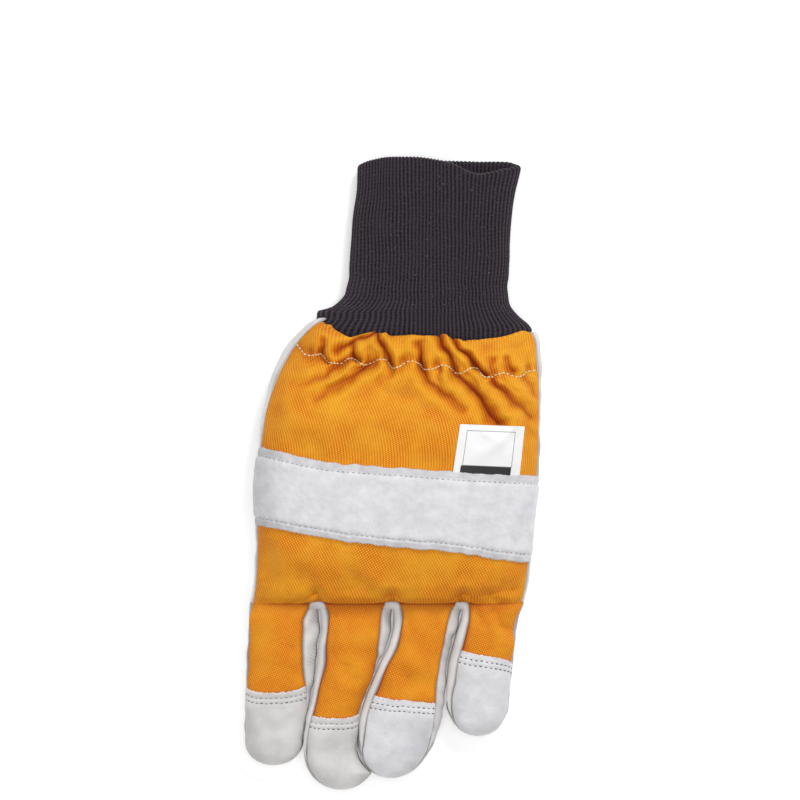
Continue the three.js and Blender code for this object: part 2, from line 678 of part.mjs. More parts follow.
// The mouth through which the thumb goes from the palm into its own stall
function thumbMouth(margin) {
  const y = THUMB_TIP + MOUTH_AT * THUMB_LENGTH;
  const outline = new THREE.Shape().absellipse(
    thumbSection(y, 0).middle, y,
    THUMB_MOUTH_WIDTH / 2 + margin, THUMB_MOUTH_LENGTH / 2 + margin,
    0, 2 * Math.PI, false, 0,
  );
  const prism = new THREE.ExtrudeGeometry(outline, { depth: THUMB_HEIGHT, bevelEnabled: false, curveSegments: 8 });
  prism.deleteAttribute('normal');
  prism.deleteAttribute('uv');
  prism.translate(0, 0, THUMB_HEIGHT * 0.6);
  const merged = mergeVertices(prism, 1e-3);
  return new wasm.Manifold(new wasm.Mesh({
    numProp: 3,
    vertProperties: new Float32Array(merged.attributes.position.array),
    triVerts: new Uint32Array(merged.index.array),
  }));
}

const palm = palmHand().subtract(thumbMouth(0));

function thumbPod(inset) {
  const [from, to] = [THUMB_TIP + inset, THUMB_TIP + THUMB_LENGTH - inset];
  const spread = evenly((t) => thumbPoint((from + to) / 2, 2 * Math.PI * t, 0), THUMB_COLUMNS);
  return tube(THUMB_ROW_COUNT, spread.length - 1, (u, j) => {
    const y = mix(from, to, (1 - Math.cos(u * Math.PI)) / 2);
    return thumbPoint(y, 2 * Math.PI * spread[j], inset);
  });
}

const thumb = thumbPod(0).subtract(thumbPod(LEATHER)).subtract(thumbMouth(0));

// The cuff: ribbed outside, smooth inside, sewn in under the gathered hem
function cuffSection(y, angle, inset) {
  const at = (y - HAND_LENGTH) / CUFF_LENGTH;
  const left = CUFF_MIDDLE + read(CUFF_ROWS, 'left', at) * CUFF_WIDTH / 2;
  const right = CUFF_MIDDLE + read(CUFF_ROWS, 'right', at) * CUFF_WIDTH / 2;
  const top = read(CUFF_ROWS, 'top', at) * CUFF_HEIGHT;
  const seam = CUFF_SEAM_HEIGHT * top;
  const power = 2 / TOP_POWER;
  const half = (right - left) / 2 - inset;
  const x = (left + right) / 2 + half * signedPower(Math.cos(angle), power);
  const rise = signedPower(Math.sin(angle), power);
  const z = rise > 0
    ? seam + (top - seam - inset) * rise
    : Math.max(inset, seam + (seam + FLATTENING / 2 - inset) * rise);
  const own = new THREE.Vector3(x, y, z);
  const sewn = handPoint(y, angle, FABRIC + 2 * CLEARANCE + inset);
  const free = step(y, HAND_LENGTH + CUFF_SEAM_START, HAND_LENGTH + CUFF_SEAM_END);
  return sewn.lerp(own, free);
}

// The mouth's upper edge dips towards the right, where the far layer shows behind it
function mouthDip(x, angle) {
  const share = (x - CUFF_MIDDLE) / (CUFF_WIDTH / 2);
  return MOUTH_DIP * step(share, 0.15, 0.6) * step(Math.sin(angle), 0.1, 0.6);
}

// Angles that space the ribs and the furrows between them evenly round the cuff
function ribAngles() {
  const around = (t) => cuffSection(HAND_LENGTH + CUFF_LENGTH / 2, 2 * Math.PI * t, 0);
  let girth = 0;
  for (let k = 0; k < 360; k += 1) girth += around(k / 360).distanceTo(around((k + 1) / 360));
  return evenly(around, 2 * Math.round(girth / RIB_PITCH)).slice(0, -1).map((t) => 2 * Math.PI * t);
}

const CUFF_STATIONS = [0, 0.1, 0.18, 0.3, 1];

function cuffSolid() {
  const start = HAND_LENGTH - CUFF_TUCK;
  const end = HAND_LENGTH + CUFF_LENGTH;
  const angles = ribAngles();
  const outer = tube(CUFF_STATIONS.length - 1, angles.length, (u, j) => {
    const share = station(CUFF_STATIONS, u);
    const probe = cuffSection(end, angles[j], 0);
    const y = mix(start, end - mouthDip(probe.x, angles[j]), share);
    return cuffSection(y, angles[j], j % 2 ? 0 : RIB_DEPTH);
  });
  const columns = 24;
  const inner = tube(CUFF_STATIONS.length - 1, columns, (u, j) => {
    const share = station(CUFF_STATIONS, u);
    const y = mix(start - 1, end + 1, share);
    return cuffSection(y, 2 * Math.PI * j / columns, CUFF_WALL);
  });
  return outer.subtract(inner);
}

const cuff = cuffSolid();

// The knuckle band and the label lie on the fabric back
function overBack(y, angle, lift) {
  const point = handPoint(y, angle, -lift);
  point.z += gather(point.x, y) * Math.sin(angle) ** 0.6;
  return point;
}

const bandNear = (x) => read(BAND_ROWS, 'near', x / HALF, 'x') * HAND_LENGTH;
const bandFar = (x) => bandNear(x) + BAND_WIDTH * (1 + BAND_SPREAD * x / HALF);

function bandSurface(u, v, lift) {
  const probe = handPoint(HAND_LENGTH / 3, mix(edgeAngle(0.98), Math.PI - edgeAngle(0.98), v), 0);
  const y = mix(bandNear(probe.x), bandFar(probe.x), u);
  const { right, left } = handAngles(y);
  return overBack(y, mix(right, left, v), lift);
}

const band = wall(
  4, 26,
  (u, v) => bandSurface(u, v, LAID_GAP + BAND_WALL),
  (u, v) => bandSurface(u, v, LAID_GAP),
);

function labelSurface(u, v, lift) {
  const middle = LABEL_X * HALF;
  const x = middle + (v - 0.5) * LABEL_WIDTH + u * LABEL_LEAN * LABEL_LENGTH;
  const y = bandFar(x) + LAID_GAP + u * LABEL_LENGTH;
  const { left, right } = handSection(y);
  const share = clamp((x - (left + right) / 2) / ((right - left) / 2), -1, 1);
  const angle = Math.acos(signedPower(share, TOP_POWER / 2));
  return overBack(y, angle, lift);
}

const label = wall(
  4, 6,
  (u, v) => labelSurface(u, v, LAID_GAP + LABEL_WALL),
  (u, v) => labelSurface(u, v, LAID_GAP),
);

// Finishes, and the named meshes in one group
const FINISHES = {
  fabric: { color: 0xe98a1c, roughness: 0.85 },
  leather: { color: 0xd9d8d6, roughness: 0.7 },
  suede: { color: 0xe6e6ea, roughness: 0.9 },
  knit: { color: 0x2b262b, roughness: 0.95 },
  label: { color: 0xf7f7f7, roughness: 0.6 },
};

const glove = new THREE.Group();

function addPiece(name, solid, finish) {
  const mesh = solid.getMesh();
  const geometry = new THREE.BufferGeometry();
  geometry.setAttribute('position', new THREE.BufferAttribute(new Float32Array(mesh.vertProperties), 3));
  geometry.setIndex(new THREE.BufferAttribute(new Uint32Array(mesh.triVerts), 1));
  geometry.computeVertexNormals();
  const material = new THREE.MeshStandardMaterial({ ...FINISHES[finish], metalness: 0 });
  const piece = new THREE.Mesh(geometry, material);
  piece.name = name;
  glove.add(piece);
}

addPiece('back_panel', backPanel, 'fabric');
addPiece('palm', palm, 'leather');
addPiece('thumb', thumb, 'leather');
addPiece('knit_cuff', cuff, 'knit');
addPiece('knuckle_band', band, 'suede');
addPiece('label', label, 'label');
FINGERS.forEach((finger, i) => {
  addPiece(`${finger.name}_back`, fingerBack(i), 'fabric');
  addPiece(`${finger.name}_front`, fingerFront(i), 'leather');
  addPiece(`${finger.name}_tip_cap`, tipCap(i), finger.name === 'index' || finger.name === 'middle' ? 'leather' : 'suede');
});
FINGERS.slice(0, -1).forEach((finger, i) => {
  addPiece(`side_strip_${finger.name}_${FINGERS[i + 1].name}`, sideStrip(i), 'leather');
});

// The origin goes to the middle of the footprint, on the surface
const bounds = new THREE.Box3().setFromObject(glove, true);
const middle = bounds.getCenter(new THREE.Vector3());
glove.position.set(-middle.x, -middle.y, -bounds.min.z);

export default glove;
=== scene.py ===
# A left-hand chainsaw glove lying palm down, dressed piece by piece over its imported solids.
# Lengths are in millimetres from the middle of the line of finger bases. placed() puts them in the row frame.

import math

import bmesh
import bpy
import numpy as np
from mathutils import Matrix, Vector
from mathutils.bvhtree import BVHTree


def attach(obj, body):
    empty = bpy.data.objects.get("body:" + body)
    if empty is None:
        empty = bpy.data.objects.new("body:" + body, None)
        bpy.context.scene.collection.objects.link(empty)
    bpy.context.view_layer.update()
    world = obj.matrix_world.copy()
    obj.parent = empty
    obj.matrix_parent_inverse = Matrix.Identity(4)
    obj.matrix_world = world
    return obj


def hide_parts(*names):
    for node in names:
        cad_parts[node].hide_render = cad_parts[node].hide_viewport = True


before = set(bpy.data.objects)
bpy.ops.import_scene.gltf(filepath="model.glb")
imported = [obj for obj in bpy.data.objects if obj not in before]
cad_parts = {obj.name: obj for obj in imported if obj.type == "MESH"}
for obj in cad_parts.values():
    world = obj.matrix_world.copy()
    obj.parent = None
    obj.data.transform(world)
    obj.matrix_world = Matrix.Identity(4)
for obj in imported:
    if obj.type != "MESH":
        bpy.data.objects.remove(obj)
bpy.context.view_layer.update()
FOOTPRINT_MIDDLE = np.array((2.670, 57.200, 0.0))


# Palm. One piece of pale grain leather under the whole hand, cut to the hand's outline.
# It lies flat, rises over the thumb that is folded under it, and is sewn to the fabric back along both edges.

HALF = 61.5
HAND_LENGTH = 120.0
HAND_HEIGHT = 38.0
LEATHER = 1.4
CLEARANCE = 0.3
TOP_POWER = 2.6
UNDER_POWER = 3.2
FLATTENING = 1.5
FINE_STEPS = 720
ANGLE_GAP = 0.04
WRIST_TONGUE = 6.2
HAND_ROWS = {
    "at": (0.0, 0.025, 0.117, 0.275, 0.42, 0.578, 0.717, 0.848, 0.915, 0.958, 1.017, 1.067),
    "left": (1.0, 0.992, 0.971, 0.96, 0.97, 0.943, 0.914, 0.844, 0.785, 0.741, 0.647, 0.522),
    "right": (1.0, 1.015, 1.04, 1.066, 1.092, 1.115, 1.124, 1.128, 1.12, 1.117, 1.088, 1.036),
    "top": (0.62, 0.72, 0.83, 0.94, 1.0, 1.0, 0.94, 0.81, 0.68, 0.65, 0.62, 0.59),
    "seam": (0.25, 0.26, 0.29, 0.33, 0.36, 0.37, 0.36, 0.32, 0.29, 0.27, 0.26, 0.25),
}
BACK_EDGE_ROWS = {
    "at": (0.0, 0.45, 0.7, 0.9, 1.067),
    "left": (0.975, 0.985, 0.965, 0.94, 0.9),
    "right": (0.975, 0.985, 0.98, 0.965, 0.95),
}
THUMB_LENGTH = 78.0
THUMB_WIDTH = 31.0
THUMB_HEIGHT = 14.0
THUMB_TIP = 9.0
THUMB_SEAM = 0.46
THUMB_ROUND = 0.2
THUMB_ROWS = {
    "at": (0.0, 0.25, 0.5, 0.75, 1.0),
    "x": (-0.33, -0.37, -0.43, -0.5, -0.54),
    "half": (0.82, 0.93, 1.0, 1.04, 1.0),
    "top": (0.9, 0.96, 1.0, 1.0, 1.0),
}


def mix(a, b, t):
    return a + (b - a) * t


def step(v, start, end):
    t = np.clip((v - start) / (end - start), 0, 1)
    return t * t * (3 - 2 * t)


def bell(v, width):
    return np.exp(-((v / width) ** 2))


def power_of(v, power):
    return np.sign(v) * np.abs(v) ** power


def read(table, column, place, key="at"):
    """A smooth curve through one column of a table, read at places in its key column."""
    knots, values = np.array(table[key], float), np.array(table[column], float)
    spans = np.diff(knots)
    slopes = np.diff(values) / spans
    before, after = np.append(slopes[0], slopes), np.append(slopes, slopes[-1])
    level = before * after <= 0
    tangents = np.where(level, 0, 2 * before * after / np.where(level, 1, before + after))
    place = np.clip(place, knots[0], knots[-1])
    i = np.clip(np.searchsorted(knots, place, side="right") - 1, 0, len(spans) - 1)
    t = (place - knots[i]) / spans[i]
    t2, t3 = t * t, t * t * t
    start, end = tangents[i] * spans[i], tangents[i + 1] * spans[i]
    from_start = values[i] * (2 * t3 - 3 * t2 + 1) + start * (t3 - 2 * t2 + t)
    return from_start + values[i + 1] * (3 * t2 - 2 * t3) + end * (t3 - t2)


def evenly(line, parts):
    """Shares along a line of points that cut it into parts of one length."""
    lengths = np.append(0, np.cumsum(np.linalg.norm(np.diff(line, axis=0), axis=1)))
    return np.interp(np.linspace(0, lengths[-1], parts + 1), lengths, np.linspace(0, 1, len(line)))


def points(x, y, z):
    return np.stack(np.broadcast_arrays(x, y, z), axis=-1).astype(float)


def thumb_section(y, inset=0.0):
    at = np.clip((y - THUMB_TIP) / THUMB_LENGTH, 0, 1)
    rounding = THUMB_ROUND * THUMB_LENGTH
    from_end = np.minimum(y - THUMB_TIP, THUMB_TIP + THUMB_LENGTH - y)
    q = np.clip((rounding - from_end) / (rounding - inset), 0, 1)
    shrink = np.sqrt(1 - q * q)
    half = (read(THUMB_ROWS, "half", at) * THUMB_WIDTH / 2 - inset) * shrink
    return read(THUMB_ROWS, "x", at) * HALF, half, read(THUMB_ROWS, "top", at) * THUMB_HEIGHT, shrink


def thumb_lift(x, y):
    """How far the folded thumb lifts the palm at a place: 1 right over it, 0 away from it."""
    side = 1 - step(np.abs(x - thumb_section(y)[0]) / (THUMB_WIDTH / 2), 1.05, 1.75)
    end = THUMB_TIP + THUMB_LENGTH
    return side * step(y, 0, THUMB_TIP + 1) * (1 - step(y, end, end + THUMB_WIDTH / 2))


def hand_section(y):
    at = y / HAND_LENGTH
    left, right = -read(HAND_ROWS, "left", at) * HALF, read(HAND_ROWS, "right", at) * HALF
    return left, right, read(HAND_ROWS, "top", at) * HAND_HEIGHT, read(HAND_ROWS, "seam", at) * HAND_HEIGHT


def hand_point(y, angle, inset=0.0):
    left, right, top, seam = hand_section(y)
    under = np.sin(angle) < 0
    power = np.where(under, 2 / UNDER_POWER, 2 / TOP_POWER)
    x = (left + right) / 2 + ((right - left) / 2 - inset) * power_of(np.cos(angle), power)
    rise = power_of(np.sin(angle), power)
    flat = np.maximum(seam + (seam + FLATTENING - inset) * rise, inset)
    low = flat + np.maximum(0, THUMB_HEIGHT + CLEARANCE + inset - flat) * thumb_lift(x, y)
    return points(x, y, np.where(under, low, seam + (top - seam - inset) * rise))


def edge_angle(share):
    return np.arccos(np.minimum(1, share) ** (TOP_POWER / 2))


def hand_angles(y):
    """The angles at which the fabric back ends, at the right and at the left."""
    at = y / HAND_LENGTH
    right, left = read(BACK_EDGE_ROWS, "right", at), read(BACK_EDGE_ROWS, "left", at)
    return edge_angle(right), math.pi - edge_angle(left)


def facing(grid, other):
    """Unit normals of a grid of points, turned away from another grid."""
    normals = np.cross(np.gradient(grid, axis=0), np.gradient(grid, axis=1))
    normals /= np.maximum(np.linalg.norm(normals, axis=-1, keepdims=True), 1e-9)
    return normals * np.sign(((grid - other) * normals).sum())


def ripples(x, y, size, seed, waves=14):
    """A soft random relief, about 1 high, with bumps of one size."""
    chance = np.random.default_rng(seed)
    turns = chance.uniform(0, 2 * math.pi, waves)
    phases = chance.uniform(0, 2 * math.pi, waves)
    scales = chance.uniform(0.7, 1.6, waves)
    heights = [
        np.sin((x * math.cos(turn) + y * math.sin(turn)) * 2 * math.pi / (size * scale) + phase)
        for turn, phase, scale in zip(turns, phases, scales)
    ]
    return sum(heights) / math.sqrt(waves)


def bumps(grid, size, seed):
    return ripples(grid[..., 0], grid[..., 1], size, seed)


def creases(x, y, lines, wander=0.45, full_depth=3.4):
    """Folds along lines of (points, first depth, last depth, width): relief, and how much painted shade a place gets
    for lying deep in a fold.
    """
    x, y = x + wander * ripples(x, y, 8, 41), y + wander * ripples(x, y, 8, 42)
    relief, inside = np.zeros(x.shape), np.zeros(x.shape)
    for line, first, last, width in lines:
        line = np.array(line, float)
        lengths = np.linalg.norm(np.diff(line, axis=0), axis=1)
        passed = np.append(0, np.cumsum(lengths))
        nearest, along = np.full(x.shape, np.inf), np.zeros(x.shape)
        for (ax, ay), (bx, by), length, before in zip(line[:-1], line[1:], lengths, passed):
            t = np.clip(((x - ax) * (bx - ax) + (y - ay) * (by - ay)) / length**2, 0, 1)
            away = np.hypot(x - mix(ax, bx, t), y - mix(ay, by, t))
            along = np.where(away < nearest, before + t * length, along)
            nearest = np.minimum(away, nearest)
        depth = mix(first, last, along / passed[-1])
        sharp = np.exp(-np.hypot(nearest / width, 0.35) * 1.3 + 0.455)
        lips = 0.5 * bell(nearest - 2.6 * width, 1.4 * width)
        relief += depth * (lips - 0.8 * sharp - 0.4 * bell(nearest, 1.5 * width))
        # Painted shade: darkest along the fold's line, fading out beside it
        darkness = 0.8 * bell(nearest, 0.25 + 0.4 * width) + 0.2 * bell(nearest, 1.2 * width)
        inside = np.maximum(inside, np.clip(depth / full_depth, 0, 1) * darkness)
    return relief, inside


def flat_cut(grid):
    """Where each point of a grid lay before sewing, in millimetres: across the piece and along it."""
    across = np.cumsum(np.linalg.norm(np.diff(grid, axis=1, prepend=grid[:, :1]), axis=-1), axis=1)
    middle = across.shape[1] // 2
    return np.stack([across - across[:, middle, None] + grid[:, middle, None, 0], grid[..., 1]], axis=-1)


def placed(spots):
    return (np.asarray(spots, float) - FOOTPRINT_MIDDLE) / 1000


def mesh_piece(name, spots, quads, cut=None, marks=None):
    """A mesh object from points and four-sided faces, with its flat cut as a UV map and its marks."""
    mesh = bpy.data.meshes.new(name)
    mesh.vertices.add(len(spots))
    mesh.vertices.foreach_set("co", placed(spots).astype(np.float32).ravel())
    mesh.loops.add(quads.size)
    mesh.loops.foreach_set("vertex_index", quads.astype(np.int32).ravel())
    mesh.polygons.add(len(quads))
    mesh.polygons.foreach_set("loop_start", np.arange(0, quads.size, 4, dtype=np.int32))
    if cut is not None:
        layer = mesh.uv_layers.new(name="Cut")
        layer.uv.foreach_set("vector", cut[quads.ravel()].astype(np.float32).ravel())
    for mark, values in (marks or {}).items():
        mesh.attributes.new(mark, "FLOAT", "POINT").data.foreach_set("value", values.astype(np.float32))
    mesh.update(calc_edges=True)
    mesh.shade_smooth()
    piece = bpy.data.objects.new(name, mesh)
    bpy.context.scene.collection.objects.link(piece)
    return piece


def face_corners(index):
    """The first, second, third and last corners of all faces in a grid of point numbers."""
    return index[:-1, :-1].ravel(), index[:-1, 1:].ravel(), index[1:, 1:].ravel(), index[1:, :-1].ravel()


def sewn_sheet(name, outer, inner, cut=None, marks=None, rounding=0.6, tip=False):
    """A closed sheet between two grids, with a rounded edge. tip: the last row closes to a point."""
    rows, columns = outer.shape[:2]
    index = np.arange(rows * columns).reshape(rows, columns)
    rim = np.concatenate([index[0, :-1], index[:-1, -1], index[-1, :0:-1], index[:0:-1, 0]])
    row, column = np.divmod(rim, columns)
    beside = np.clip(row, 1, rows - 2) * columns + np.clip(column, 1, columns - 2)
    top, under = outer.reshape(-1, 3), inner.reshape(-1, 3)
    outward = top[rim] - top[beside]
    outward /= np.maximum(np.linalg.norm(outward, axis=1, keepdims=True), 1e-9)
    if tip:
        outward[row == rows - 1] = 0
    half = (top[rim] - under[rim]) / 2
    reach = rounding * np.linalg.norm(half, axis=1, keepdims=True)
    turns = np.array((0.25, 0.5, 0.75)) * math.pi
    rings = [under[rim] + half * (1 + math.cos(t)) + outward * reach * math.sin(t) for t in turns]
    count = rows * columns
    rounds = [2 * count + k * len(rim) + np.arange(len(rim)) for k in range(len(turns))]
    rounds = [rim, *rounds, rim + count]
    a, b, c, d = face_corners(index)
    faces = [np.stack([a, b, c, d], 1), np.stack([d, c, b, a], 1) + count]
    for near, far in zip(rounds, rounds[1:]):
        faces.append(np.stack([np.roll(near, -1), near, far, np.roll(far, -1)], 1))
    faces = np.concatenate(faces)
    normals = np.cross(top[b] - top[a], top[d] - top[a])
    if ((top[a] - under[a]) * normals).sum() < 0:
        faces = faces[:, ::-1]

    def on_every_point(values):
        return np.concatenate([values, values] + [values[rim]] * len(turns))

    cut = on_every_point((flat_cut(outer) if cut is None else cut).reshape(count, 2))
    marks = {mark: on_every_point(values.reshape(count)) for mark, values in (marks or {}).items()}
    piece = mesh_piece(name, np.concatenate([top, under, *rings]), faces, cut, marks)
    if tip:
        work = bmesh.new()
        work.from_mesh(piece.data)
        bmesh.ops.remove_doubles(work, verts=work.verts, dist=1e-6)
        work.to_mesh(piece.data)
        work.free()
    return piece


def node(tree, kind, inputs=None, **settings):
    """Adds a node to a tree; inputs are values or other nodes' sockets."""
    made = tree.nodes.new(kind)
    for setting, value in settings.items():
        setattr(made, setting, value)
    for socket, value in (inputs or {}).items():
        if isinstance(value, bpy.types.NodeSocket):
            tree.links.new(value, made.inputs[socket])
        else:
            made.inputs[socket].default_value = value
    return made


def value_of(tree, operation, a, b=0.0, c=0.0):
    return node(tree, "ShaderNodeMath", {0: a, 1: b, 2: c}, operation=operation).outputs[0]


def times(tree, a, b):
    return value_of(tree, "MULTIPLY", a, b)


def stretched(tree, value, low, high, start=0.0, end=1.0):
    """Runs from start to end while a value runs from low to high."""
    return node(tree, "ShaderNodeMapRange", {0: value, 1: low, 2: high, 3: start, 4: end}).outputs[0]


def noise(tree, place, scale, detail, roughness=0.5, distortion=0.0):
    inputs = {"Vector": place, "Scale": scale, "Detail": detail, "Roughness": roughness, "Distortion": distortion}
    return node(tree, "ShaderNodeTexNoise", inputs).outputs["Fac"]


def between(tree, share, low, high):
    """A colour between two colours."""
    mixed = node(tree, "ShaderNodeMix", {"Factor": share, 6: low, 7: high}, data_type="RGBA")
    return mixed.outputs[2]


def colour(red, green, blue):
    """A colour as seen in the light, from 0 to 255, as the shader takes it."""
    linear = [(v / 255 / 12.92) if v < 11 else ((v / 255 + 0.055) / 1.055) ** 2.4 for v in (red, green, blue)]
    return (*linear, 1.0)


def node_group(name, kind, inputs, outputs):
    """A node group with named inputs and outputs, its two ends, and what a modifier calls its inputs."""
    group = bpy.data.node_groups.new(name, kind)
    identifiers = {}
    for title, (value_kind, value) in inputs.items():
        socket = group.interface.new_socket(title, in_out="INPUT", socket_type="NodeSocket" + value_kind)
        if value is not None:
            socket.default_value = value
        identifiers[title] = socket.identifier
    for title, value_kind in outputs.items():
        group.interface.new_socket(title, in_out="OUTPUT", socket_type="NodeSocket" + value_kind)
    return group, node(group, "NodeGroupInput").outputs, node(group, "NodeGroupOutput").inputs, identifiers


# Leather grain, shared by all leather: pores and fine wrinkles, patches of tone, and grime in the patches.
leather_grain, given, result, _ = node_group(
    "Leather Grain",
    "ShaderNodeTree",
    {"Millimetres": ("Vector", None), "Pore Size": ("Float", 0.6), "Patch Size": ("Float", 9.0)},
    {"Height": "Float", "Patches": "Float", "Specks": "Float"},
)
pores_apart = value_of(leather_grain, "DIVIDE", 1.0, given["Pore Size"])
cells = {"Vector": given["Millimetres"], "Scale": pores_apart}
pores = node(leather_grain, "ShaderNodeTexVoronoi", cells, feature="SMOOTH_F1").outputs["Distance"]
wrinkles = noise(leather_grain, given["Millimetres"], 0.35, 6.0, 0.62, 0.6)
patches_apart = value_of(leather_grain, "DIVIDE", 1.0, given["Patch Size"])
patches = noise(leather_grain, given["Millimetres"], patches_apart, 5.0, 0.6)
flecks = noise(leather_grain, given["Millimetres"], 0.9, 3.0, 0.7)
grained = value_of(leather_grain, "MULTIPLY_ADD", wrinkles, 0.8, times(leather_grain, pores, 0.35))
leather_grain.links.new(grained, result["Height"])
leather_grain.links.new(stretched(leather_grain, patches, 0.32, 0.7), result["Patches"])
leather_grain.links.new(stretched(leather_grain, flecks, 0.6, 0.72), result["Specks"])


def new_finish(name):
    """A material, its nodes and its shader."""
    made = bpy.data.materials.new(name)
    made.use_nodes = True
    return made, made.node_tree, made.node_tree.nodes["Principled BSDF"]


def set_values(shader, values):
    for title, value in values.items():
        shader.inputs[title].default_value = value


def mark_on(tree, name):
    """A mark that a piece carries, such as seam or fold."""
    return node(tree, "ShaderNodeAttribute", attribute_name=name).outputs["Fac"]


def in_millimetres(tree):
    place = node(tree, "ShaderNodeTexCoord").outputs["Object"]
    return node(tree, "ShaderNodeVectorMath", {0: place, "Scale": 1000.0}, operation="SCALE").outputs[0]


def emboss(tree, shader, strength, depth, height):
    """Gives a finish a fine relief, with its depth in millimetres."""
    bump = node(tree, "ShaderNodeBump", {"Strength": strength, "Distance": depth / 1000, "Height": height})
    tree.links.new(bump.outputs[0], shader.inputs["Normal"])


def leather(name, pale, dull, seam_and_shade_tone, roughness, relief, pore, patch, sheen):
    """A leather: two tones in patches, a darker tone along seams and for painted shade in creases and on sides that
    turn from the light, fine grain.
    """
    made, tree, shader = new_finish(name)
    inputs = {"Millimetres": in_millimetres(tree), "Pore Size": pore, "Patch Size": patch}
    grain = node(tree, "ShaderNodeGroup", inputs, node_tree=leather_grain)
    toned = between(tree, grain.outputs["Patches"], colour(*pale), colour(*dull))
    specked = between(tree, times(tree, grain.outputs["Specks"], 0.3), toned, colour(*dull))
    # Seam marks give dark seam lines, with some painted shade in creases and grooves; shade marks are painted shade
    seamed = between(tree, times(tree, mark_on(tree, "seam"), 0.85), specked, colour(*seam_and_shade_tone))
    shaded = between(tree, times(tree, mark_on(tree, "shade"), 0.6), seamed, colour(*seam_and_shade_tone))
    tree.links.new(shaded, shader.inputs["Base Color"])
    rough = stretched(tree, grain.outputs["Patches"], 0.0, 1.0, roughness - 0.05, roughness + 0.07)
    tree.links.new(rough, shader.inputs["Roughness"])
    emboss(tree, shader, 0.6, relief, grain.outputs["Height"])
    set_values(shader, {"Sheen Weight": sheen, "Sheen Roughness": 0.5, "Specular IOR Level": 0.35})
    return made


def dress(piece, finish, slot, *replaced):
    """Gives a piece its finish, its body and the solids that it stands for. Its slot is not used."""
    piece.data.materials.clear()
    piece.data.materials.append(finish)
    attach(piece, "root")
    if replaced:
        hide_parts(*replaced)
    return piece


# Its darkest tone serves the seam lines and the painted shade
grain_leather = leather(
    "Grain leather", pale=(233, 231, 230), dull=(208, 206, 204), seam_and_shade_tone=(84, 77, 76),
    roughness=0.5, relief=0.35, pore=0.7, patch=14.0, sheen=0.1,
)


def palm_piece(rows=110, columns=150):
    share = np.linspace(0, 1, rows)[:, None]

    def surface(inset, t):
        y = share * (1.01 * HAND_LENGTH + WRIST_TONGUE * step(t, 0.86, 0.97))
        right, left = hand_angles(y)
        return hand_point(y, mix(right - ANGLE_GAP / 2, left + ANGLE_GAP / 2 - 2 * math.pi, t), inset)

    spread = evenly(surface(0, np.linspace(0, 1, FINE_STEPS)[None, :])[rows * 2 // 5], columns)[None, :]
    outer, inner = surface(0, spread), surface(LEATHER, spread)
    lifted = step(outer[..., 2], 1.0, 4.0)
    relief = 0.35 * bumps(outer, 16, 5) * lifted
    edge = np.minimum(spread, 1 - spread) * 260
    outer = outer + facing(outer, inner) * (relief + 0.5 * bell(edge - 1.8, 1.2))[..., None]
    outer[..., 2] = np.maximum(outer[..., 2], 0)
    return sewn_sheet("palm_piece", outer, inner, marks={"seam": 0.5 * bell(edge + 0 * share, 0.9)})


dress(palm_piece(), grain_leather, "grain_leather", "palm")


# Thumb. A leather stall with a seam all round it, pressed flat under the palm by the hand's weight.
# Only its side shows, below the index finger's edge of the hand.


def thumb_point(y, angle, inset=0.0):
    middle, half, top, shrink = thumb_section(y, inset)
    seam = THUMB_SEAM * THUMB_HEIGHT
    x = middle + half * power_of(np.cos(angle), 2 / TOP_POWER)
    rise = power_of(np.sin(angle), 2 / TOP_POWER) * shrink
    low = np.maximum(seam + (seam + FLATTENING - inset) * rise, inset)
    return points(x, y, np.where(rise >= 0, seam + (top - seam - inset) * rise, low))


def thumb_piece(rows=90, columns=96):
    share = (1 - np.cos(np.linspace(0, math.pi, rows))) / 2
    y = THUMB_TIP + THUMB_LENGTH * share[:, None]
    once_round = np.linspace(0, 2 * math.pi, FINE_STEPS + 1)
    middle_ring = thumb_point(np.full(len(once_round), THUMB_TIP + THUMB_LENGTH / 2), once_round)
    angle = 2 * math.pi * evenly(middle_ring, columns)[None, :-1]
    ring = thumb_point(y, angle)
    seam = bell(np.sin(angle) + 0 * y, 0.09)
    middle = points(thumb_section(y)[0], y, THUMB_SEAM * THUMB_HEIGHT)
    away = ring - middle
    away /= np.maximum(np.linalg.norm(away, axis=-1, keepdims=True), 1e-6)
    welt = 0.7 * bell(np.sin(angle) - 0.1, 0.05) - 0.3 * seam
    relief = (welt + 0.15 * bumps(ring, 12, 8)) * np.sin(math.pi * share)[:, None]
    ring = ring + away * relief[..., None]
    ring[..., 2] = np.maximum(ring[..., 2], 0)
    index = np.arange(ring[..., 0].size).reshape(ring.shape[:2])
    a, b = index[:-1], index[1:]
    quads = np.stack([a, np.roll(a, -1, 1), np.roll(b, -1, 1), b], -1).reshape(-1, 4)
    cut = flat_cut(ring).reshape(-1, 2)
    made = mesh_piece("thumb_piece", ring.reshape(-1, 3), quads, cut, {"seam": 0.7 * seam.ravel()})
    work = bmesh.new()
    work.from_mesh(made.data)
    bmesh.ops.remove_doubles(work, verts=work.verts, dist=1e-6)
    bmesh.ops.holes_fill(work, edges=[e for e in work.edges if e.is_boundary], sides=0)
    bmesh.ops.recalc_face_normals(work, faces=work.faces)
    work.to_mesh(made.data)
    work.free()
    made.data.shade_smooth()
    return made


dress(thumb_piece(), grain_leather, "grain_leather", "thumb")


# Fronts of the fingers. Four leather pieces sewn to the palm, which run round the fingertips to meet the caps.
# They lie flat on the surface and crease a little across the joints.

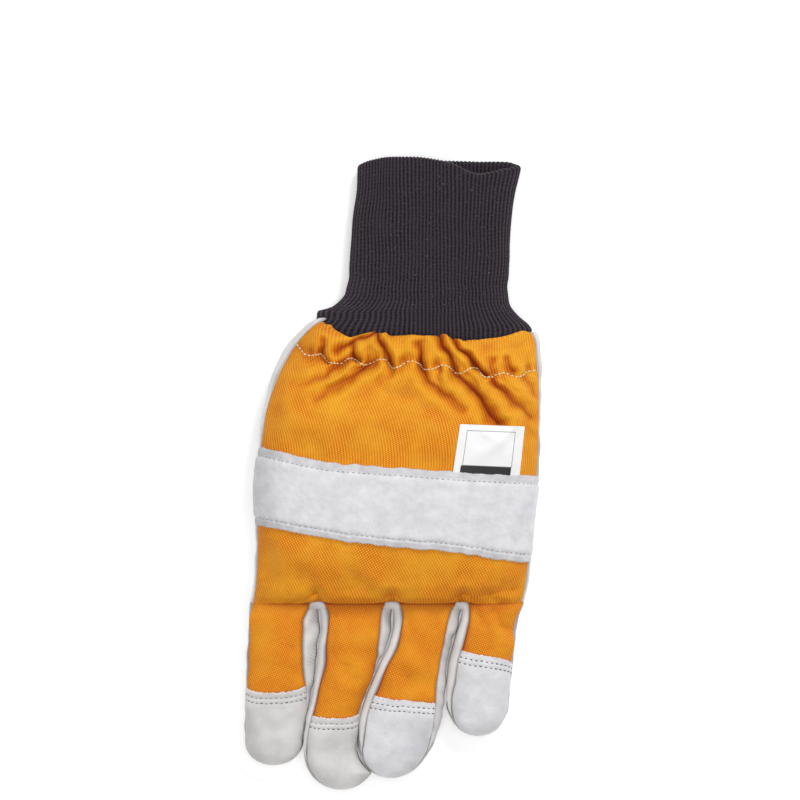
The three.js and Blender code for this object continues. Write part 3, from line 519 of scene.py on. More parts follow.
FINGER_HEIGHT = 20.0
FINGER_GAP = 0.6
TIP_ROUNDING = 13.0
MIDDLE_LENGTH = 84.6
NAMES = ("index", "middle", "ring", "little")
FINGERS = {
    "length": (73.6, 84.6, 79.4, 60.4),
    "width_share": (0.259, 0.26, 0.256, 0.225),
    "tip_x": (-0.18, -0.227, -0.532, -0.258),
    "left_half": (0.404, 0.533, 0.5, 0.513),
    "right_half": (0.43, 0.53, 0.79, 0.513),
    "left_round": (0.156, 0.213, 0.22, 0.265),
    "right_round": (0.156, 0.213, 0.54, 0.28),
    "cap_left": (0.527, 0.605, 0.532, 0.361),
    "cap_middle": (0.556, 0.619, 0.558, 0.413),
    "cap_right": (0.513, 0.598, 0.577, 0.458),
}
GAP_ROWS = {
    "at": (0.0, 0.085, 0.14, 0.23, 0.34, 0.5, 0.62, 0.75, 1.0),
    0: (0.0, -0.01, -0.014, -0.02, -0.026, -0.034, -0.038, -0.044, -0.044),
    1: (-0.028, -0.006, -0.004, -0.022, -0.034, -0.07, -0.105, -0.13, -0.138),
    2: (0.0, 0.0, -0.004, -0.034, -0.106, -0.2, -0.246, -0.26, -0.26),
    3: (0.0, -0.017, -0.042, -0.08, -0.115, -0.124, -0.124, -0.124, -0.124),
    4: (0.0, -0.046, -0.058, -0.072, -0.09, -0.112, -0.118, -0.12, -0.12),
}
FINGER_ROWS = {
    "at": (0.0, 0.3, 0.6, 0.85, 1.0),
    "top": (1.0, 0.98, 0.9, 0.8, 0.76),
    "seam": (0.475, 0.45, 0.42, 0.38, 0.36),
}
# Where a finger's upper pieces end beside its neighbour: shares of its half width, by millimetres from its base
EDGE_ROWS = {
    "at": (0, 0.6, 1.4, 2.5, 4, 9, 14, 20, 27, 34, 42, 52, 62, 72, 85),
    "index_right": (0.9, 0.84, 0.79, 0.74, 0.67, 0.53, 0.54, 0.575, 0.63, 0.72, 0.85, 0.97, 0.985, 0.985, 0.985),
    "middle_left": (0.92, 0.87, 0.83, 0.8, 0.785, 0.785, 0.79, 0.79, 0.77, 0.78, 0.8, 0.82, 0.86, 0.92, 0.97),
    "middle_right": (0.9, 0.84, 0.79, 0.75, 0.71, 0.68, 0.7, 0.76, 0.93, 0.975, 0.98, 0.98, 0.98, 0.98, 0.98),
    "ring_left": (0.9, 0.85, 0.81, 0.78, 0.75, 0.72, 0.73, 0.74, 0.75, 0.76, 0.78, 0.8, 0.84, 0.92, 0.97),
    "ring_right": (0.9, 0.85, 0.8, 0.76, 0.71, 0.66, 0.69, 0.76, 0.79, 0.77, 0.76, 0.79, 0.88, 0.97, 0.985),
    "little_left": (0.9, 0.85, 0.81, 0.78, 0.76, 0.71, 0.68, 0.67, 0.68, 0.72, 0.82, 0.92, 0.97, 0.97, 0.97),
}
OUTER_EDGE = 0.975
STRIP_LOW = -0.52
STRIP_CLOSED = 0.9

widths = np.array(FINGERS["width_share"]) * (2 * HALF - 3 * FINGER_GAP)
lefts = [-HALF + widths[:i].sum() + i * FINGER_GAP for i in range(4)]
bases = [(left, left + width) for left, width in zip(lefts, widths)]


def closing(d, length, rounding, inset):
    """How far a side has closed in towards the tip: 1 where it hasn't, 0 at the tip."""
    q = np.clip((d - (length - rounding)) / (rounding - inset), 0, 1)
    return np.sqrt(1 - q * q), q > 0


def finger_side(i, d, inset, right):
    length, width = FINGERS["length"][i], widths[i]
    tip = sum(bases[i]) / 2 + FINGERS["tip_x"][i] * width
    side = "right" if right else "left"
    share, started = closing(d, length, FINGERS[side + "_round"][i] * length, inset)
    reach = (FINGERS[side + "_half"][i] * width - inset) * share
    line = bases[i][1 if right else 0] + read(GAP_ROWS, i + right, d / MIDDLE_LENGTH) * HALF
    if not right:
        return np.where(started, np.maximum(line + inset, tip - reach), line + inset)
    if i < 3:
        beside = np.mean([finger_side(i + 1, d + away, 0.0, False) for away in (-4, -2, 0, 2, 4)], axis=0)
        beside = np.minimum(beside, finger_side(i + 1, d, 0.0, False))
        line = np.where(d < FINGERS["length"][i + 1], beside - FINGER_GAP, 1e6)
    return np.where(started, np.minimum(line - inset, tip + reach), line - inset)


def finger_point(i, d, angle, inset=0.0, apart=0.0):
    """A point on a finger. apart: 1 for the upper pieces and -1 for the front, which part a little at the tip."""
    length = FINGERS["length"][i]
    left, right = finger_side(i, d, inset, False), finger_side(i, d, inset, True)
    close = closing(d, length, TIP_ROUNDING, inset)[0]
    top, seam = (read(FINGER_ROWS, line, d / length) * FINGER_HEIGHT for line in ("top", "seam"))
    under = np.sin(angle) < 0
    power = np.where(under, 2 / UNDER_POWER, 2 / TOP_POWER)
    x = (left + right) / 2 + np.maximum(0, (right - left) / 2) * power_of(np.cos(angle), power)
    rise = power_of(np.sin(angle), power) * close
    z = seam + (np.where(under, seam + FLATTENING, top - seam) - inset) * rise
    return points(x, -d, np.maximum(z + apart * CLEARANCE / 2 * (1 - close), inset))


def upper_angles(i, d):
    """The angles at which a finger's upper pieces end, at the right and at the left."""
    right = edge_angle(OUTER_EDGE if i == 3 else read(EDGE_ROWS, NAMES[i] + "_right", d))
    left = edge_angle(OUTER_EDGE if i == 0 else read(EDGE_ROWS, NAMES[i] + "_left", d))
    return right + 0 * d, math.pi - left + 0 * d


def front_angles(i, d):
    right, left = upper_angles(i, d)
    close = step(np.maximum(0, d) / FINGERS["length"][i], STRIP_CLOSED - 0.24, STRIP_CLOSED)
    right, left = right - ANGLE_GAP, left + ANGLE_GAP
    return (
        right if i == 3 else mix(STRIP_LOW, right, close),
        left if i == 0 else mix(math.pi - STRIP_LOW, left, close),
    )


def front_piece(i, rows=84, columns=44):
    length = FINGERS["length"][i]
    share = np.sin(np.linspace(0, math.pi / 2, rows))[:, None]
    t = np.linspace(0, 1, columns)[None, :]

    def surface(inset):
        d = mix(CLEARANCE, length - inset, share)
        right, left = front_angles(i, d)
        return finger_point(i, d, mix(right, left - 2 * math.pi, t), inset, -1)

    outer, inner = surface(0), surface(LEATHER)
    edge = np.minimum(t, 1 - t) * 40 + 0 * share
    joints = 0.22 * ripples(outer[..., 0] * 0.4, outer[..., 1], 9, 20 + i)
    relief = (joints + 0.5 * bell(edge - 1.4, 0.9)) * (1 - share**8)
    outer = outer + facing(outer, inner) * relief[..., None]
    outer[..., 2] = np.maximum(outer[..., 2], 0)
    return sewn_sheet(f"{NAMES[i]}_front_piece", outer, inner, marks={"seam": 0.6 * bell(edge, 0.8)}, tip=True)


for i in range(4):
    dress(front_piece(i), grain_leather, "grain_leather", f"{NAMES[i]}_front")


# Side strips. A strip of leather runs down one finger, round the crotch and along the next one.
# On the far finger it is rolled into a smooth welt; on the near one it lies open, with fine slanting wrinkles.

STRIP_REACH = 0.856
STRIP_GAP = 0.075
ARCH_START = 2.6
ARCH_RISE = 3.1
WEB_DEPTH = 3.4


def strip_piece(i, legs=150, turns=40, columns=30):
    one, two = FINGERS["length"][i], FINGERS["length"][i + 1]
    v = np.linspace(0, 1, columns)[None, :]
    arch = WEB_DEPTH * step(v, 0, 0.3) + (ARCH_START - WEB_DEPTH) * step(v, 0.6, 1)
    down = np.linspace(0, 1, legs)[:, None]
    near, far = mix(STRIP_REACH * one, arch, down), mix(arch, STRIP_REACH * two, down)

    def side(n, d, inset, right):
        upper, front = upper_angles(n, d)[0 if right else 1], front_angles(n, d)[0 if right else 1]
        turn = STRIP_GAP if right else -STRIP_GAP
        return finger_point(n, d, mix(front + turn, upper - 0.35 * turn, v), inset)

    def surface(inset):
        left, right = side(i, near, inset, True), side(i + 1, far, inset, False)
        turn = (math.pi * np.arange(1, turns) / turns)[:, None]
        crotch = mix(left[-1:], right[:1], ((1 - np.cos(turn)) / 2)[..., None])
        crotch[..., 1] += np.sin(turn) ** 0.8 * (FINGER_GAP / 2 + inset + ARCH_RISE * step(v, 0.55, 1))
        return np.concatenate([left, crotch, right])

    outer, inner = surface(0), surface(LEATHER)
    round_crotch = np.linspace(0, 1, turns + 1)[1:-1]
    welt = step(np.concatenate([np.zeros(legs), round_crotch, np.ones(legs)]), 0.05, 0.5)[:, None]
    from_edge = (1 - v) * 9
    x, y = outer[..., 0], outer[..., 1]
    slant = (0.5 + 0.5 * np.sin((x * 0.8 + y) * 2 * math.pi / 1.7 + 1.8 * ripples(x, y, 11, 40 + i))) ** 3
    slack = 1 - step(-y, 34, 46) if i == 0 else 0.8 * (1 - step(-y, 10, 22))
    wrinkled = slant * step(ripples(x, y, 13, 60 + i), -0.6, 0.4) * step(from_edge, 0.6, 2.2) * slack
    open_side = 0.25 * ripples(x, y, 7, 30 + i) - 0.28 * wrinkled
    rolled = 0.95 * bell(from_edge - 2.0, 1.7) + 0.06 * ripples(x, y, 10, 50 + i)
    relief = mix(open_side, rolled, welt) - 0.5 * bell(from_edge, 0.4)
    ends = np.minimum(np.arange(len(welt)), np.arange(len(welt))[::-1])
    outer = outer + facing(outer, inner) * (relief * step(ends, 0, 16)[:, None])[..., None]
    # Painted shade in the wrinkles, on the open near side that faces away from the light, and on the welt where it
    # turns under; the sewn edges get dark seam lines
    painted_wrinkle_shade = 0.4 * wrinkled * (1 - welt)
    painted_side_shade = (1 - welt) * (0.12 + (0.2, 0.3, 0.45)[i] * step(from_edge, 1.5, 6.0))
    sewn_edges = 0.8 * bell(from_edge, 0.35) + 0.5 * bell(v, 0.12)
    marks = {
        "seam": np.clip(sewn_edges + painted_wrinkle_shade, 0, 1),
        "shade": painted_side_shade + 0.3 * welt * step(from_edge, 3.4, 5.5),
    }
    return sewn_sheet(f"side_strip_{i + 1}", outer, inner, marks=marks, rounding=0.4)


for i, solid in enumerate(("side_strip_index_middle", "side_strip_middle_ring", "side_strip_ring_little")):
    dress(strip_piece(i), grain_leather, "grain_leather", solid)


# Back of the hand. A thick pad of cut-resistant layers under coarse orange fabric, gathered by an elastic.
# Above the elastic's stitches the fabric stands free in a ruffled hem; below them it bursts into long folds.

PADDING = 5.0
FABRIC = 2.0
HEM_EDGE = {
    "x": (
        -46, -39.5, -34.4, -31.4, -25.2, -20.6, -17.3, -15.0, -11.4, -5.0, -2.2, 1.9, 6.1, 11.0, 16.3,
        21.8, 26.5, 28.2, 30.0, 35.1, 41.5, 48.9, 54.8, 59.4, 62.2, 64.9, 67.4,
    ),
    "y": (
        116, 119.5, 123.9, 125.5, 122.1, 119.8, 118.2, 118.6, 120.2, 120.9, 120.6, 119.1, 119.2, 119.6,
        119.0, 119.6, 119.4, 118.9, 117.7, 117.0, 117.3, 118.0, 119.1, 120.6, 121.3, 120.3, 118.5,
    ),
}
ELASTIC = {
    "x": (
        -44, -40.2, -37.1, -34.3, -30.0, -25.6, -21.0, -16.9, -14.6, -10.5, -7.0, -3.4, -0.8, 2.4, 5.6,
        10.4, 14.6, 16.5, 19.0, 21.8, 24.3, 26.6, 28.6, 30.5, 32.8, 35.5, 38.2, 39.6, 43.4, 46.3, 48.9,
        52.2, 55.3, 57.6, 60.1, 62.6, 65.7,
    ),
    "y": (
        117, 115.4, 111.5, 110.8, 111.5, 107.6, 107.4, 109.7, 109.0, 106.7, 107.6, 109.1, 108.8, 105.1,
        106.0, 108.3, 106.9, 104.6, 104.5, 105.3, 106.5, 106.1, 104.9, 103.0, 103.0, 104.2, 105.3,
        105.2, 101.1, 101.2, 102.3, 103.1, 101.9, 101.3, 101.7, 103.5, 104.1,
    ),
}
# The knuckle band holds the pad down between these two lines
BAND_NEAR = {"x": (-57.5, -39.0, -16.8, 5.7, 28.2, 50.7, 65.1), "y": (35.3, 32.0, 28.2, 25.8, 23.8, 20.3, 18.5)}
BAND_FAR = {"x": (-57.5, -25.8, 5.7, 28.2, 67.4), "y": (69.3, 62.6, 60.3, 58.5, 56.3)}
HEM_FOLDS = (
    (((-35.3, 117.3), (-34.8, 113.1)), 0.6, 0.8, 1.42),
    (((-28.6, 117.5), (-29.5, 113.1), (-29.1, 110.4), (-27.2, 106.9)), 2.2, 4.2, 1.15),
    (((-5.9, 121.0), (-15.1, 116.8), (-18.7, 115.0), (-22.5, 113.2)), 3.4, 2.8, 1.45),
    (((-15.8, 115.0), (-14.8, 111.3), (-13.7, 108.1)), 2.6, 3.8, 1.05),
    (((-8.4, 111.8), (-8.9, 108.1)), 0.5, 1.2, 0.95),
    (((-4.5, 121.5), (-4.3, 117.7), (-1.5, 115.2), (0.3, 110.8), (1.5, 106.2)), 3.8, 3.8, 1.14),
    (((6.3, 110.4), (5.8, 106.7)), 0.4, 1.0, 1.14),
    (((14.0, 116.0), (15.1, 111.3), (15.6, 106.2)), 2.6, 3.8, 1.42),
    (((22.7, 120.0), (25.4, 115.0), (28.6, 110.4), (30.0, 105.8), (30.0, 103.9)), 4.3, 3.8, 1.52),
    (((28.2, 119.5), (31.4, 114.5), (36.0, 110.4), (40.6, 105.3), (43.8, 101.4)), 3.8, 4.3, 1.09),
    (((47.0, 109.0), (46.1, 104.9), (46.6, 103.0)), 1.4, 2.6, 1.23),
    (((53.2, 108.5), (54.6, 106.2), (56.2, 103.9)), 1.8, 3.0, 1.33),
    (((63.5, 108.5), (63.2, 105.0)), 0.4, 0.8, 1.23),
)
LONG_FOLDS = (
    (((-18.3, 108.8), (-20.6, 106.7), (-23.6, 104.4), (-27.9, 102.1), (-35.3, 98.9), (-41.2, 97.1)), 3.2, 0.5, 1.42),
    (((-6.8, 107.6), (-10.0, 104.9), (-14.1, 102.1), (-19.2, 98.9), (-25.2, 95.2), (-31.6, 91.6)), 3.9, 0.8, 1.71),
    (((3.8, 105.3), (1.0, 102.1), (-2.2, 99.4)), 2.2, 0.4, 1.52),
    (((8.8, 107.0), (9.4, 103.5)), 1.1, 0.3, 1.14),
    (((15.8, 105.2), (17.2, 100.7), (20.4, 97.1), (25.0, 94.3), (29.6, 90.2), (33.2, 88.3)), 3.2, 1.4, 1.99),
    (((23.1, 106.0), (24.1, 103.0), (22.9, 99.8)), 3.0, 1.2, 0.95),
    (((30.5, 103.0), (34.2, 98.9), (39.7, 94.8), (43.3, 88.8), (46.1, 84.2), (48.9, 80.5)), 3.0, 4.3, 2.47),
    (((46.8, 101.2), (48.9, 97.1), (52.5, 93.9), (56.7, 90.2), (60.8, 87.0), (64.0, 83.3)), 3.8, 2.4, 1.99),
    (((52.0, 102.8), (53.2, 98.5)), 1.4, 0.3, 1.23),
    (((61.0, 101.7), (62.6, 99.8), (64.9, 97.1), (66.0, 93.4)), 1.9, 1.6, 1.52),
    (((62.6, 79.2), (65.8, 75.0)), 1.2, 0.7, 2.09),
)
BASE_FOLDS = (
    (((-54.8, 2.4), (-45.6, 0.9), (-35.0, -0.2)), 0.6, 1.4, 1.6),
    (((-32.6, 11.0), (-32.4, 6.0), (-32.0, 0.5)), 0.2, 1.4, 1.7),
    (((36.5, 1.7), (44.0, 3.7), (51.0, 5.2), (56.2, 5.5)), 0.8, 1.6, 2.2),
    (((46.6, 2.4), (51.9, -0.5), (56.0, -3.5)), 1.0, 1.4, 2.0),
)

weave, given, result, _ = node_group(
    "Lattice Weave",
    "ShaderNodeTree",
    {"Millimetres": ("Vector", None), "Thread": ("Float", 0.86), "Turn": ("Float", -0.17)},
    {"Height": "Float", "Slub": "Float"},
)
lying = {"Vector": given["Millimetres"], "Angle": given["Turn"]}
turned = node(weave, "ShaderNodeVectorRotate", lying, rotation_type="Z_AXIS").outputs[0]
apart = node(weave, "ShaderNodeSeparateXYZ", {0: turned}).outputs
drift = noise(weave, given["Millimetres"], 0.05, 1.0)


def threads(across):
    """Threads side by side, half a wave each."""
    place = value_of(weave, "DIVIDE", value_of(weave, "MULTIPLY_ADD", drift, 0.5, across), given["Thread"])
    return value_of(weave, "SINE", times(weave, place, math.pi))


crossings = times(weave, threads(apart["X"]), threads(apart["Y"]))
weave.links.new(value_of(weave, "MULTIPLY_ADD", crossings, 0.5, 0.5), result["Height"])
weave.links.new(noise(weave, given["Millimetres"], 0.5, 4.0, 0.6), result["Slub"])


def woven_cloth(name, valley, thread, glint, fold, thread_size, turn):
    """A coarse woven cloth: a diagonal lattice with painted highlight on its crossings and painted shade between
    them, and a deeper painted shade inside the folds.
    """
    made, tree, shader = new_finish(name)
    laid_flat = node(tree, "ShaderNodeUVMap", uv_map="Cut").outputs[0]
    inputs = {"Millimetres": laid_flat, "Thread": thread_size, "Turn": turn}
    lattice = node(tree, "ShaderNodeGroup", inputs, node_tree=weave).outputs
    height = lattice["Height"]
    # Painted shade in the weave's valleys and painted highlight on its crossings
    low = between(tree, stretched(tree, height, 0.1, 0.55), colour(*valley), colour(*thread))
    lit = between(tree, stretched(tree, height, 0.55, 0.95), low, colour(*glint))
    uneven = between(tree, stretched(tree, lattice["Slub"], 0.35, 0.75, 0.0, 0.3), lit, colour(*valley))
    clouds = stretched(tree, noise(tree, in_millimetres(tree), 0.06, 3.0, 0.55), 0.4, 0.66, 0.0, 0.36)
    clouded = between(tree, clouds, uneven, colour(*glint))
    # Painted highlight on the raised lobes, then painted shade deep in the folds
    crested = between(tree, times(tree, mark_on(tree, "crest"), 0.28), clouded, colour(*glint))
    tree.links.new(between(tree, mark_on(tree, "fold"), crested, colour(*fold)), shader.inputs["Base Color"])
    tree.links.new(stretched(tree, height, 0.0, 1.0, 0.85, 0.62), shader.inputs["Roughness"])
    emboss(tree, shader, 0.8, 0.22, height)
    set_values(shader, {"Sheen Weight": 0.15, "Sheen Roughness": 0.4, "Sheen Tint": colour(255, 190, 90)})
    set_values(shader, {"Specular IOR Level": 0.3})
    return made


# valley and glint are the painted shade and painted highlight on the weave; fold is the painted shade deep in folds
orange_cloth = woven_cloth(
    "Orange cloth", valley=(208, 104, 7), thread=(228, 136, 12), glint=(253, 190, 42), fold=(146, 26, 7),
    thread_size=0.72, turn=-0.17,
)


def hem_relief(x, y):
    """Height of the folds over the plain back, and how much painted shade a place gets for lying deep in a fold."""
    past = y - read(ELASTIC, "y", x, "x")
    ruffle = 3.6 * step(past, 0.3, 5.5) + 1.2 * bell(past + 5.5, 4.5) - 0.9 * bell(past, 1.1)
    ruffle -= 1.6 * step(past, 9, 15)
    leaning = x - np.minimum(past, 0) * (0.5 - 0.035 * x)
    strength = 0.5 + 0.35 * ripples(leaning, 0, 17, 4)
    gathers = 2 * math.pi * leaning / 4.6 + 1.4 * ripples(leaning, y * 0.2, 22, 3)
    pleats = strength * np.cos(gathers) * bell(past, np.where(past < 0, 8.0, 5.0))
    over, under, base = (creases(x, y, folds) for folds in (HEM_FOLDS, LONG_FOLDS, BASE_FOLDS))
    above, below = step(past, -2.5, 0.5), 1 - step(past, -1.0, 1.5)
    relief = ruffle + pleats + over[0] * above + under[0] * below + base[0]
    # Painted shade in the folds above and below the elastic, and weaker in those at the pad's front edge
    inside = np.maximum.reduce([over[1] * above, under[1] * below, 0.45 * base[1]])
    return relief, inside, past


# The pad's length, and how far its front edge comes down onto the fingers' fabric, deeper between them
BACK_LENGTH = 0.99 * HAND_LENGTH
FRONT_DROP = 1.1
CROTCHES = [bases[i][1] + read(GAP_ROWS, i + 1, 0.0) * HALF for i in range(3)]


def pad_dips(x):
    dips = sum(3.6 * bell(x - crotch, 3.2) + 1.5 * bell(x - crotch, 6.5) for crotch in CROTCHES)
    return dips + FRONT_DROP * (1 - step(np.abs(x), 35, 50))


def pad_height(x, y):
    """How high the pad's outer side is near its front edge."""
    left, right, top, seam = hand_section(y)
    round_side = 1 - np.minimum(1, np.abs(2 * x - left - right) / (right - left)) ** TOP_POWER
    relief = hem_relief(x, y)[0] * round_side**0.3 - pad_dips(x) * (1 - step(y, 0, 9))
    return seam + (top - seam) * round_side ** (1 / TOP_POWER) + relief


def back_surface(along, across, inner=False):
    nominal = along * BACK_LENGTH
    right, left = hand_angles(nominal)
    angle = mix(right, left, across)
    y, reach = nominal + 0 * angle, step(nominal / HAND_LENGTH, 0.86, 0.99)
    for _ in range(5):
        y = nominal + (read(HEM_EDGE, "y", hand_point(y, angle)[..., 0], "x") - BACK_LENGTH) * reach
    x = hand_point(y, angle)[..., 0]
    y = y + 1.3 * sum(bell(x - crotch, 4.0) for crotch in CROTCHES) * (1 - step(nominal, 0, 9))
    padded = step(y, 0, 6) * (1 - step(y, 0.8 * HAND_LENGTH, 0.9 * HAND_LENGTH))
    grid = hand_point(y, angle, mix(FABRIC, PADDING, padded) if inner else 0.0)
    plain = grid.copy()
    relief, inside, past = hem_relief(grid[..., 0], y)
    relief = relief * np.sin(angle) ** 0.6 - pad_dips(x) * (1 - step(nominal, 0, 9))
    grid[..., 2] += relief * (step(y, 0.84 * HAND_LENGTH, 0.9 * HAND_LENGTH) if inner else 1)
    return grid, inside, past, plain


def softened(heights, passes):
    """Heights of a grid, each evened out with its neighbours a number of times."""
    heights = heights.copy()
    for _ in range(passes):
        heights[1:-1] = (heights[:-2] + 2 * heights[1:-1] + heights[2:]) / 4
        heights[:, 1:-1] = (heights[:, :-2] + 2 * heights[:, 1:-1] + heights[:, 2:]) / 4
    return heights


def blow_up(grid, held, frames=20, pressure=3.0, growth=0.035, cap=2.6):
    """Lets a grid swell as padded cloth, held where held is 1, and returns how far each point moved."""
    rows, columns = grid.shape[:2]
    index = np.arange(rows * columns).reshape(rows, columns)
    quads = np.stack(face_corners(index), 1)
    pad = mesh_piece("Pad being sewn", grid.reshape(-1, 3), quads)
    if pad.data.polygons[len(quads) // 2].normal.z < 0:
        pad.data.flip_normals()
    pins = pad.vertex_groups.new(name="held")
    for k, weight in enumerate(held.ravel()):
        pins.add([k], float(weight), "REPLACE")
    cloth = pad.modifiers.new("Cloth", "CLOTH")
    settings = cloth.settings
    settings.quality = 6
    settings.mass = 0.3
    settings.tension_stiffness = settings.compression_stiffness = 18
    settings.bending_stiffness = 0.6
    settings.vertex_group_mass = "held"
    settings.pin_stiffness = 1.0
    settings.use_pressure = True
    settings.uniform_pressure_force = pressure
    settings.shrink_min = -growth
    settings.effector_weights.gravity = 0
    cloth.collision_settings.use_collision = False
    cloth.collision_settings.use_self_collision = False
    cloth.point_cache.frame_end = frames
    for number in range(1, frames + 1):
        bpy.context.scene.frame_set(number)
    moved = pad.evaluated_get(bpy.context.evaluated_depsgraph_get()).to_mesh()
    after = np.zeros(len(moved.vertices) * 3, np.float32)
    moved.vertices.foreach_get("co", after)
    bpy.context.scene.frame_set(1)
    bpy.data.objects.remove(pad)
    shift = softened(after.reshape(grid.shape) * 1000 + FOOTPRINT_MIDDLE - grid, 3)
    length = np.linalg.norm(shift, axis=-1, keepdims=True)
    return shift * np.minimum(1, cap / np.maximum(length, 1e-9))


def resampled(grid, rows, columns):
    """A coarse grid of values read on a finer one."""
    for axis, count in ((0, rows), (1, columns)):
        place = np.linspace(0, grid.shape[axis] - 1, count)
        low = np.clip(place.astype(int), 0, grid.shape[axis] - 2)
        part = (place - low).reshape((-1, 1, 1) if axis == 0 else (1, -1, 1))
        part = part * part * (3 - 2 * part) * 0.5 + part * 0.5
        grid = mix(np.take(grid, low, axis), np.take(grid, low + 1, axis), part)
    return grid


def back_piece(rows=196, columns=210, coarse=(84, 92)):
    spread = evenly(back_surface(0.5, np.linspace(0, 1, FINE_STEPS))[0], 400)

    def across(count):
        return np.interp(np.linspace(0, 1, count), np.linspace(0, 1, len(spread)), spread)[None, :]

    along = np.linspace(0, 1, rows)[:, None]
    outer, inside, _, plain = back_surface(along, across(columns))
    inner = back_surface(along, across(columns), True)[0]
    pad, deep, beyond, _ = back_surface(np.linspace(0, 1, coarse[0])[:, None], across(coarse[1]))
    held = np.maximum(0.95 * deep, bell(beyond, 1.6))
    x, y = pad[..., 0], pad[..., 1]
    past_near, past_far = y - read(BAND_NEAR, "y", x, "x"), y - read(BAND_FAR, "y", x, "x")
    under_band = step(past_near, -2.5, -0.5) * (1 - step(past_far, 0.5, 2.5))
    held = np.maximum(held, under_band)
    held[[0, -1]], held[:, [0, -1]] = 1, 1
    outer = outer + resampled(blow_up(pad, np.clip(held, 0, 1)), rows, columns)
    rise = outer[..., 2] - softened(outer[..., 2], 60)
    # Painted shade in hollows and along the left side, which turns from the light; painted highlight on lobes that
    # rise above their surroundings
    painted_hollow_shade = np.maximum(0.42 * np.clip(-rise - 0.15, 0, 1), 0.15 * step(across(columns), 0.76, 0.93))
    marks = {
        "fold": np.maximum(np.clip(inside, 0, 1) ** 1.3, painted_hollow_shade),
        "crest": np.clip(rise / 0.8, 0, 1) * step(outer[..., 1], 66, 84),
    }
    return sewn_sheet("back_of_hand", outer, inner, cut=flat_cut(plain), marks=marks, rounding=0.8)


back_panel = dress(back_piece(), orange_cloth, "orange_fabric", "back_panel")


# Backs of the fingers. The same orange fabric over the upper side of each finger, from under the hand's
# edge to the cap. It is drawn tight over the finger's lining and dimples a little over the joints.

# How far the fabric reaches under the pad's front edge, and how fast it climbs there to be sewn to the pad
UNDER_PAD = 2.8
PAD_SLOPE = 1.25
FINGER_DIMPLES = (
    ((((-42.8, -20.8), (-38.7, -22.6)), 0.6, 0.4, 2.2),),
    (
        (((-22.5, -25.5), (-17.0, -29.5)), 0.4, 0.4, 2.4),
        (((-18.5, -31.3), (-14.4, -33.6)), 0.6, 0.5, 2.2),
        (((-24.6, -8.0), (-25.0, -24.0)), 0.5, 0.4, 2.4),
    ),
    ((((8.3, -8.0), (10.5, -14.0)), 0.6, 0.3, 2.2), (((7.5, -32.0), (12.0, -36.0)), 0.5, 0.4, 2.4)),
    (
        (((48.3, -3.1), (53.4, -11.1), (57.6, -14.1)), 1.2, 0.8, 2.0),
        (((38.1, -2.7), (44.9, -9.4), (46.6, -19.6)), 0.6, 0.3, 2.4),
    ),
)


def cap_start(i, across):
    left, middle, right = FINGERS["cap_left"][i], FINGERS["cap_middle"][i], FINGERS["cap_right"][i]
    bulge = 1 - (2 * across - 1) ** 2
    return (mix(right, left, across) + (middle - (left + right) / 2) * bulge) * FINGERS["length"][i]


def upper_spread(columns):
    t = np.linspace(0, 1, FINE_STEPS)
    line = finger_point(1, np.full(len(t), MIDDLE_LENGTH / 2), math.pi * mix(0.15, 0.85, t))
    return evenly(line, columns - 1)[None, :]


# valley and glint are the painted shade and painted highlight on the weave; fold is the painted shade deep in folds
finger_cloth = woven_cloth(
    "Finer orange cloth", valley=(209, 103, 6), thread=(229, 135, 12), glint=(252, 180, 38), fold=(158, 34, 8),
    thread_size=0.64, turn=0.38,
)


def finger_back(i, rows=90, columns=66):
    across = upper_spread(columns)
    end = cap_start(i, across)

    def surface(inset):
        d = mix(-UNDER_PAD, end + 2.5, np.linspace(0, 1, rows)[:, None])
        right, left = upper_angles(i, np.maximum(d, 0))
        tucked = 1.1 * step(d, end - 0.3, end + 0.4)
        return finger_point(i, d, mix(right, left, across), inset + tucked), d

    (outer, d), (inner, _) = surface(0), surface(FABRIC)
    climb = PAD_SLOPE * np.maximum(0, -d) + 0 * across
    room = pad_height(outer[..., 0], np.maximum(0, -d)) - 0.3 - 0.8 * step(-d, 0, 1.2) - outer[..., 2]
    shift = np.minimum(climb, room) * (1 - step(d, 0, 7))
    outer[..., 2] += shift
    inner[..., 2] += shift
    plain = outer.copy()
    relief, inside = creases(outer[..., 0], outer[..., 1], FINGER_DIMPLES[i])
    edge = np.minimum(across, 1 - across) * 30
    puff = 0.5 * bell(edge - 3.0, 2.2) - 0.35 * bell(edge, 0.8) + 0.42 * bumps(outer, 16, 70 + i)
    puff = (puff + relief * step(edge, 0, 5)) * step(d, 0, 5) * (1 - step(d, end - 4, end + 1))
    outer = outer + facing(outer, inner) * puff[..., None]
    # Painted shade: thin dark lines along both sides next to the leather, broader along the left side and down the
    # middle finger's right side under the ring's welt; a painted shadow under the pad's front edge, weaker towards
    # the outer fingers' outer sides; painted shade in the dimples and along the cap's edge
    at_left, at_right = (1 - across) * 30, across * 30
    beside = 0.6 * bell(at_left, 1.4) + 0.35 * bell(at_left, 5) * step(d, 4, 20) + 0.4 * bell(at_right, 1.3)
    if i == 1:
        beside = beside + 0.6 * bell(at_right, 5.5) * step(d, 14, 32)
    outer_side = {0: across, 3: 1 - across}.get(i, 0 * across)
    painted_shadow_under_pad = 0.5 * bell(np.maximum(d, 0), 1.0) + 0.34 * bell(np.maximum(d, 0), 4.5)
    painted_shadow_under_pad = painted_shadow_under_pad * (1 - 0.7 * step(outer_side, 0.35, 0.9))
    painted_shade_by_cap = 0.6 * bell(d - end, 0.9)
    shade = np.maximum.reduce([0.5 * inside, painted_shadow_under_pad + 0 * across, beside + 0 * d, painted_shade_by_cap])
    marks = {"fold": np.clip(shade, 0, 1)}
    return sewn_sheet(f"{NAMES[i]}_back_piece", outer, inner, cut=plain[..., :2], marks=marks, rounding=0.8)


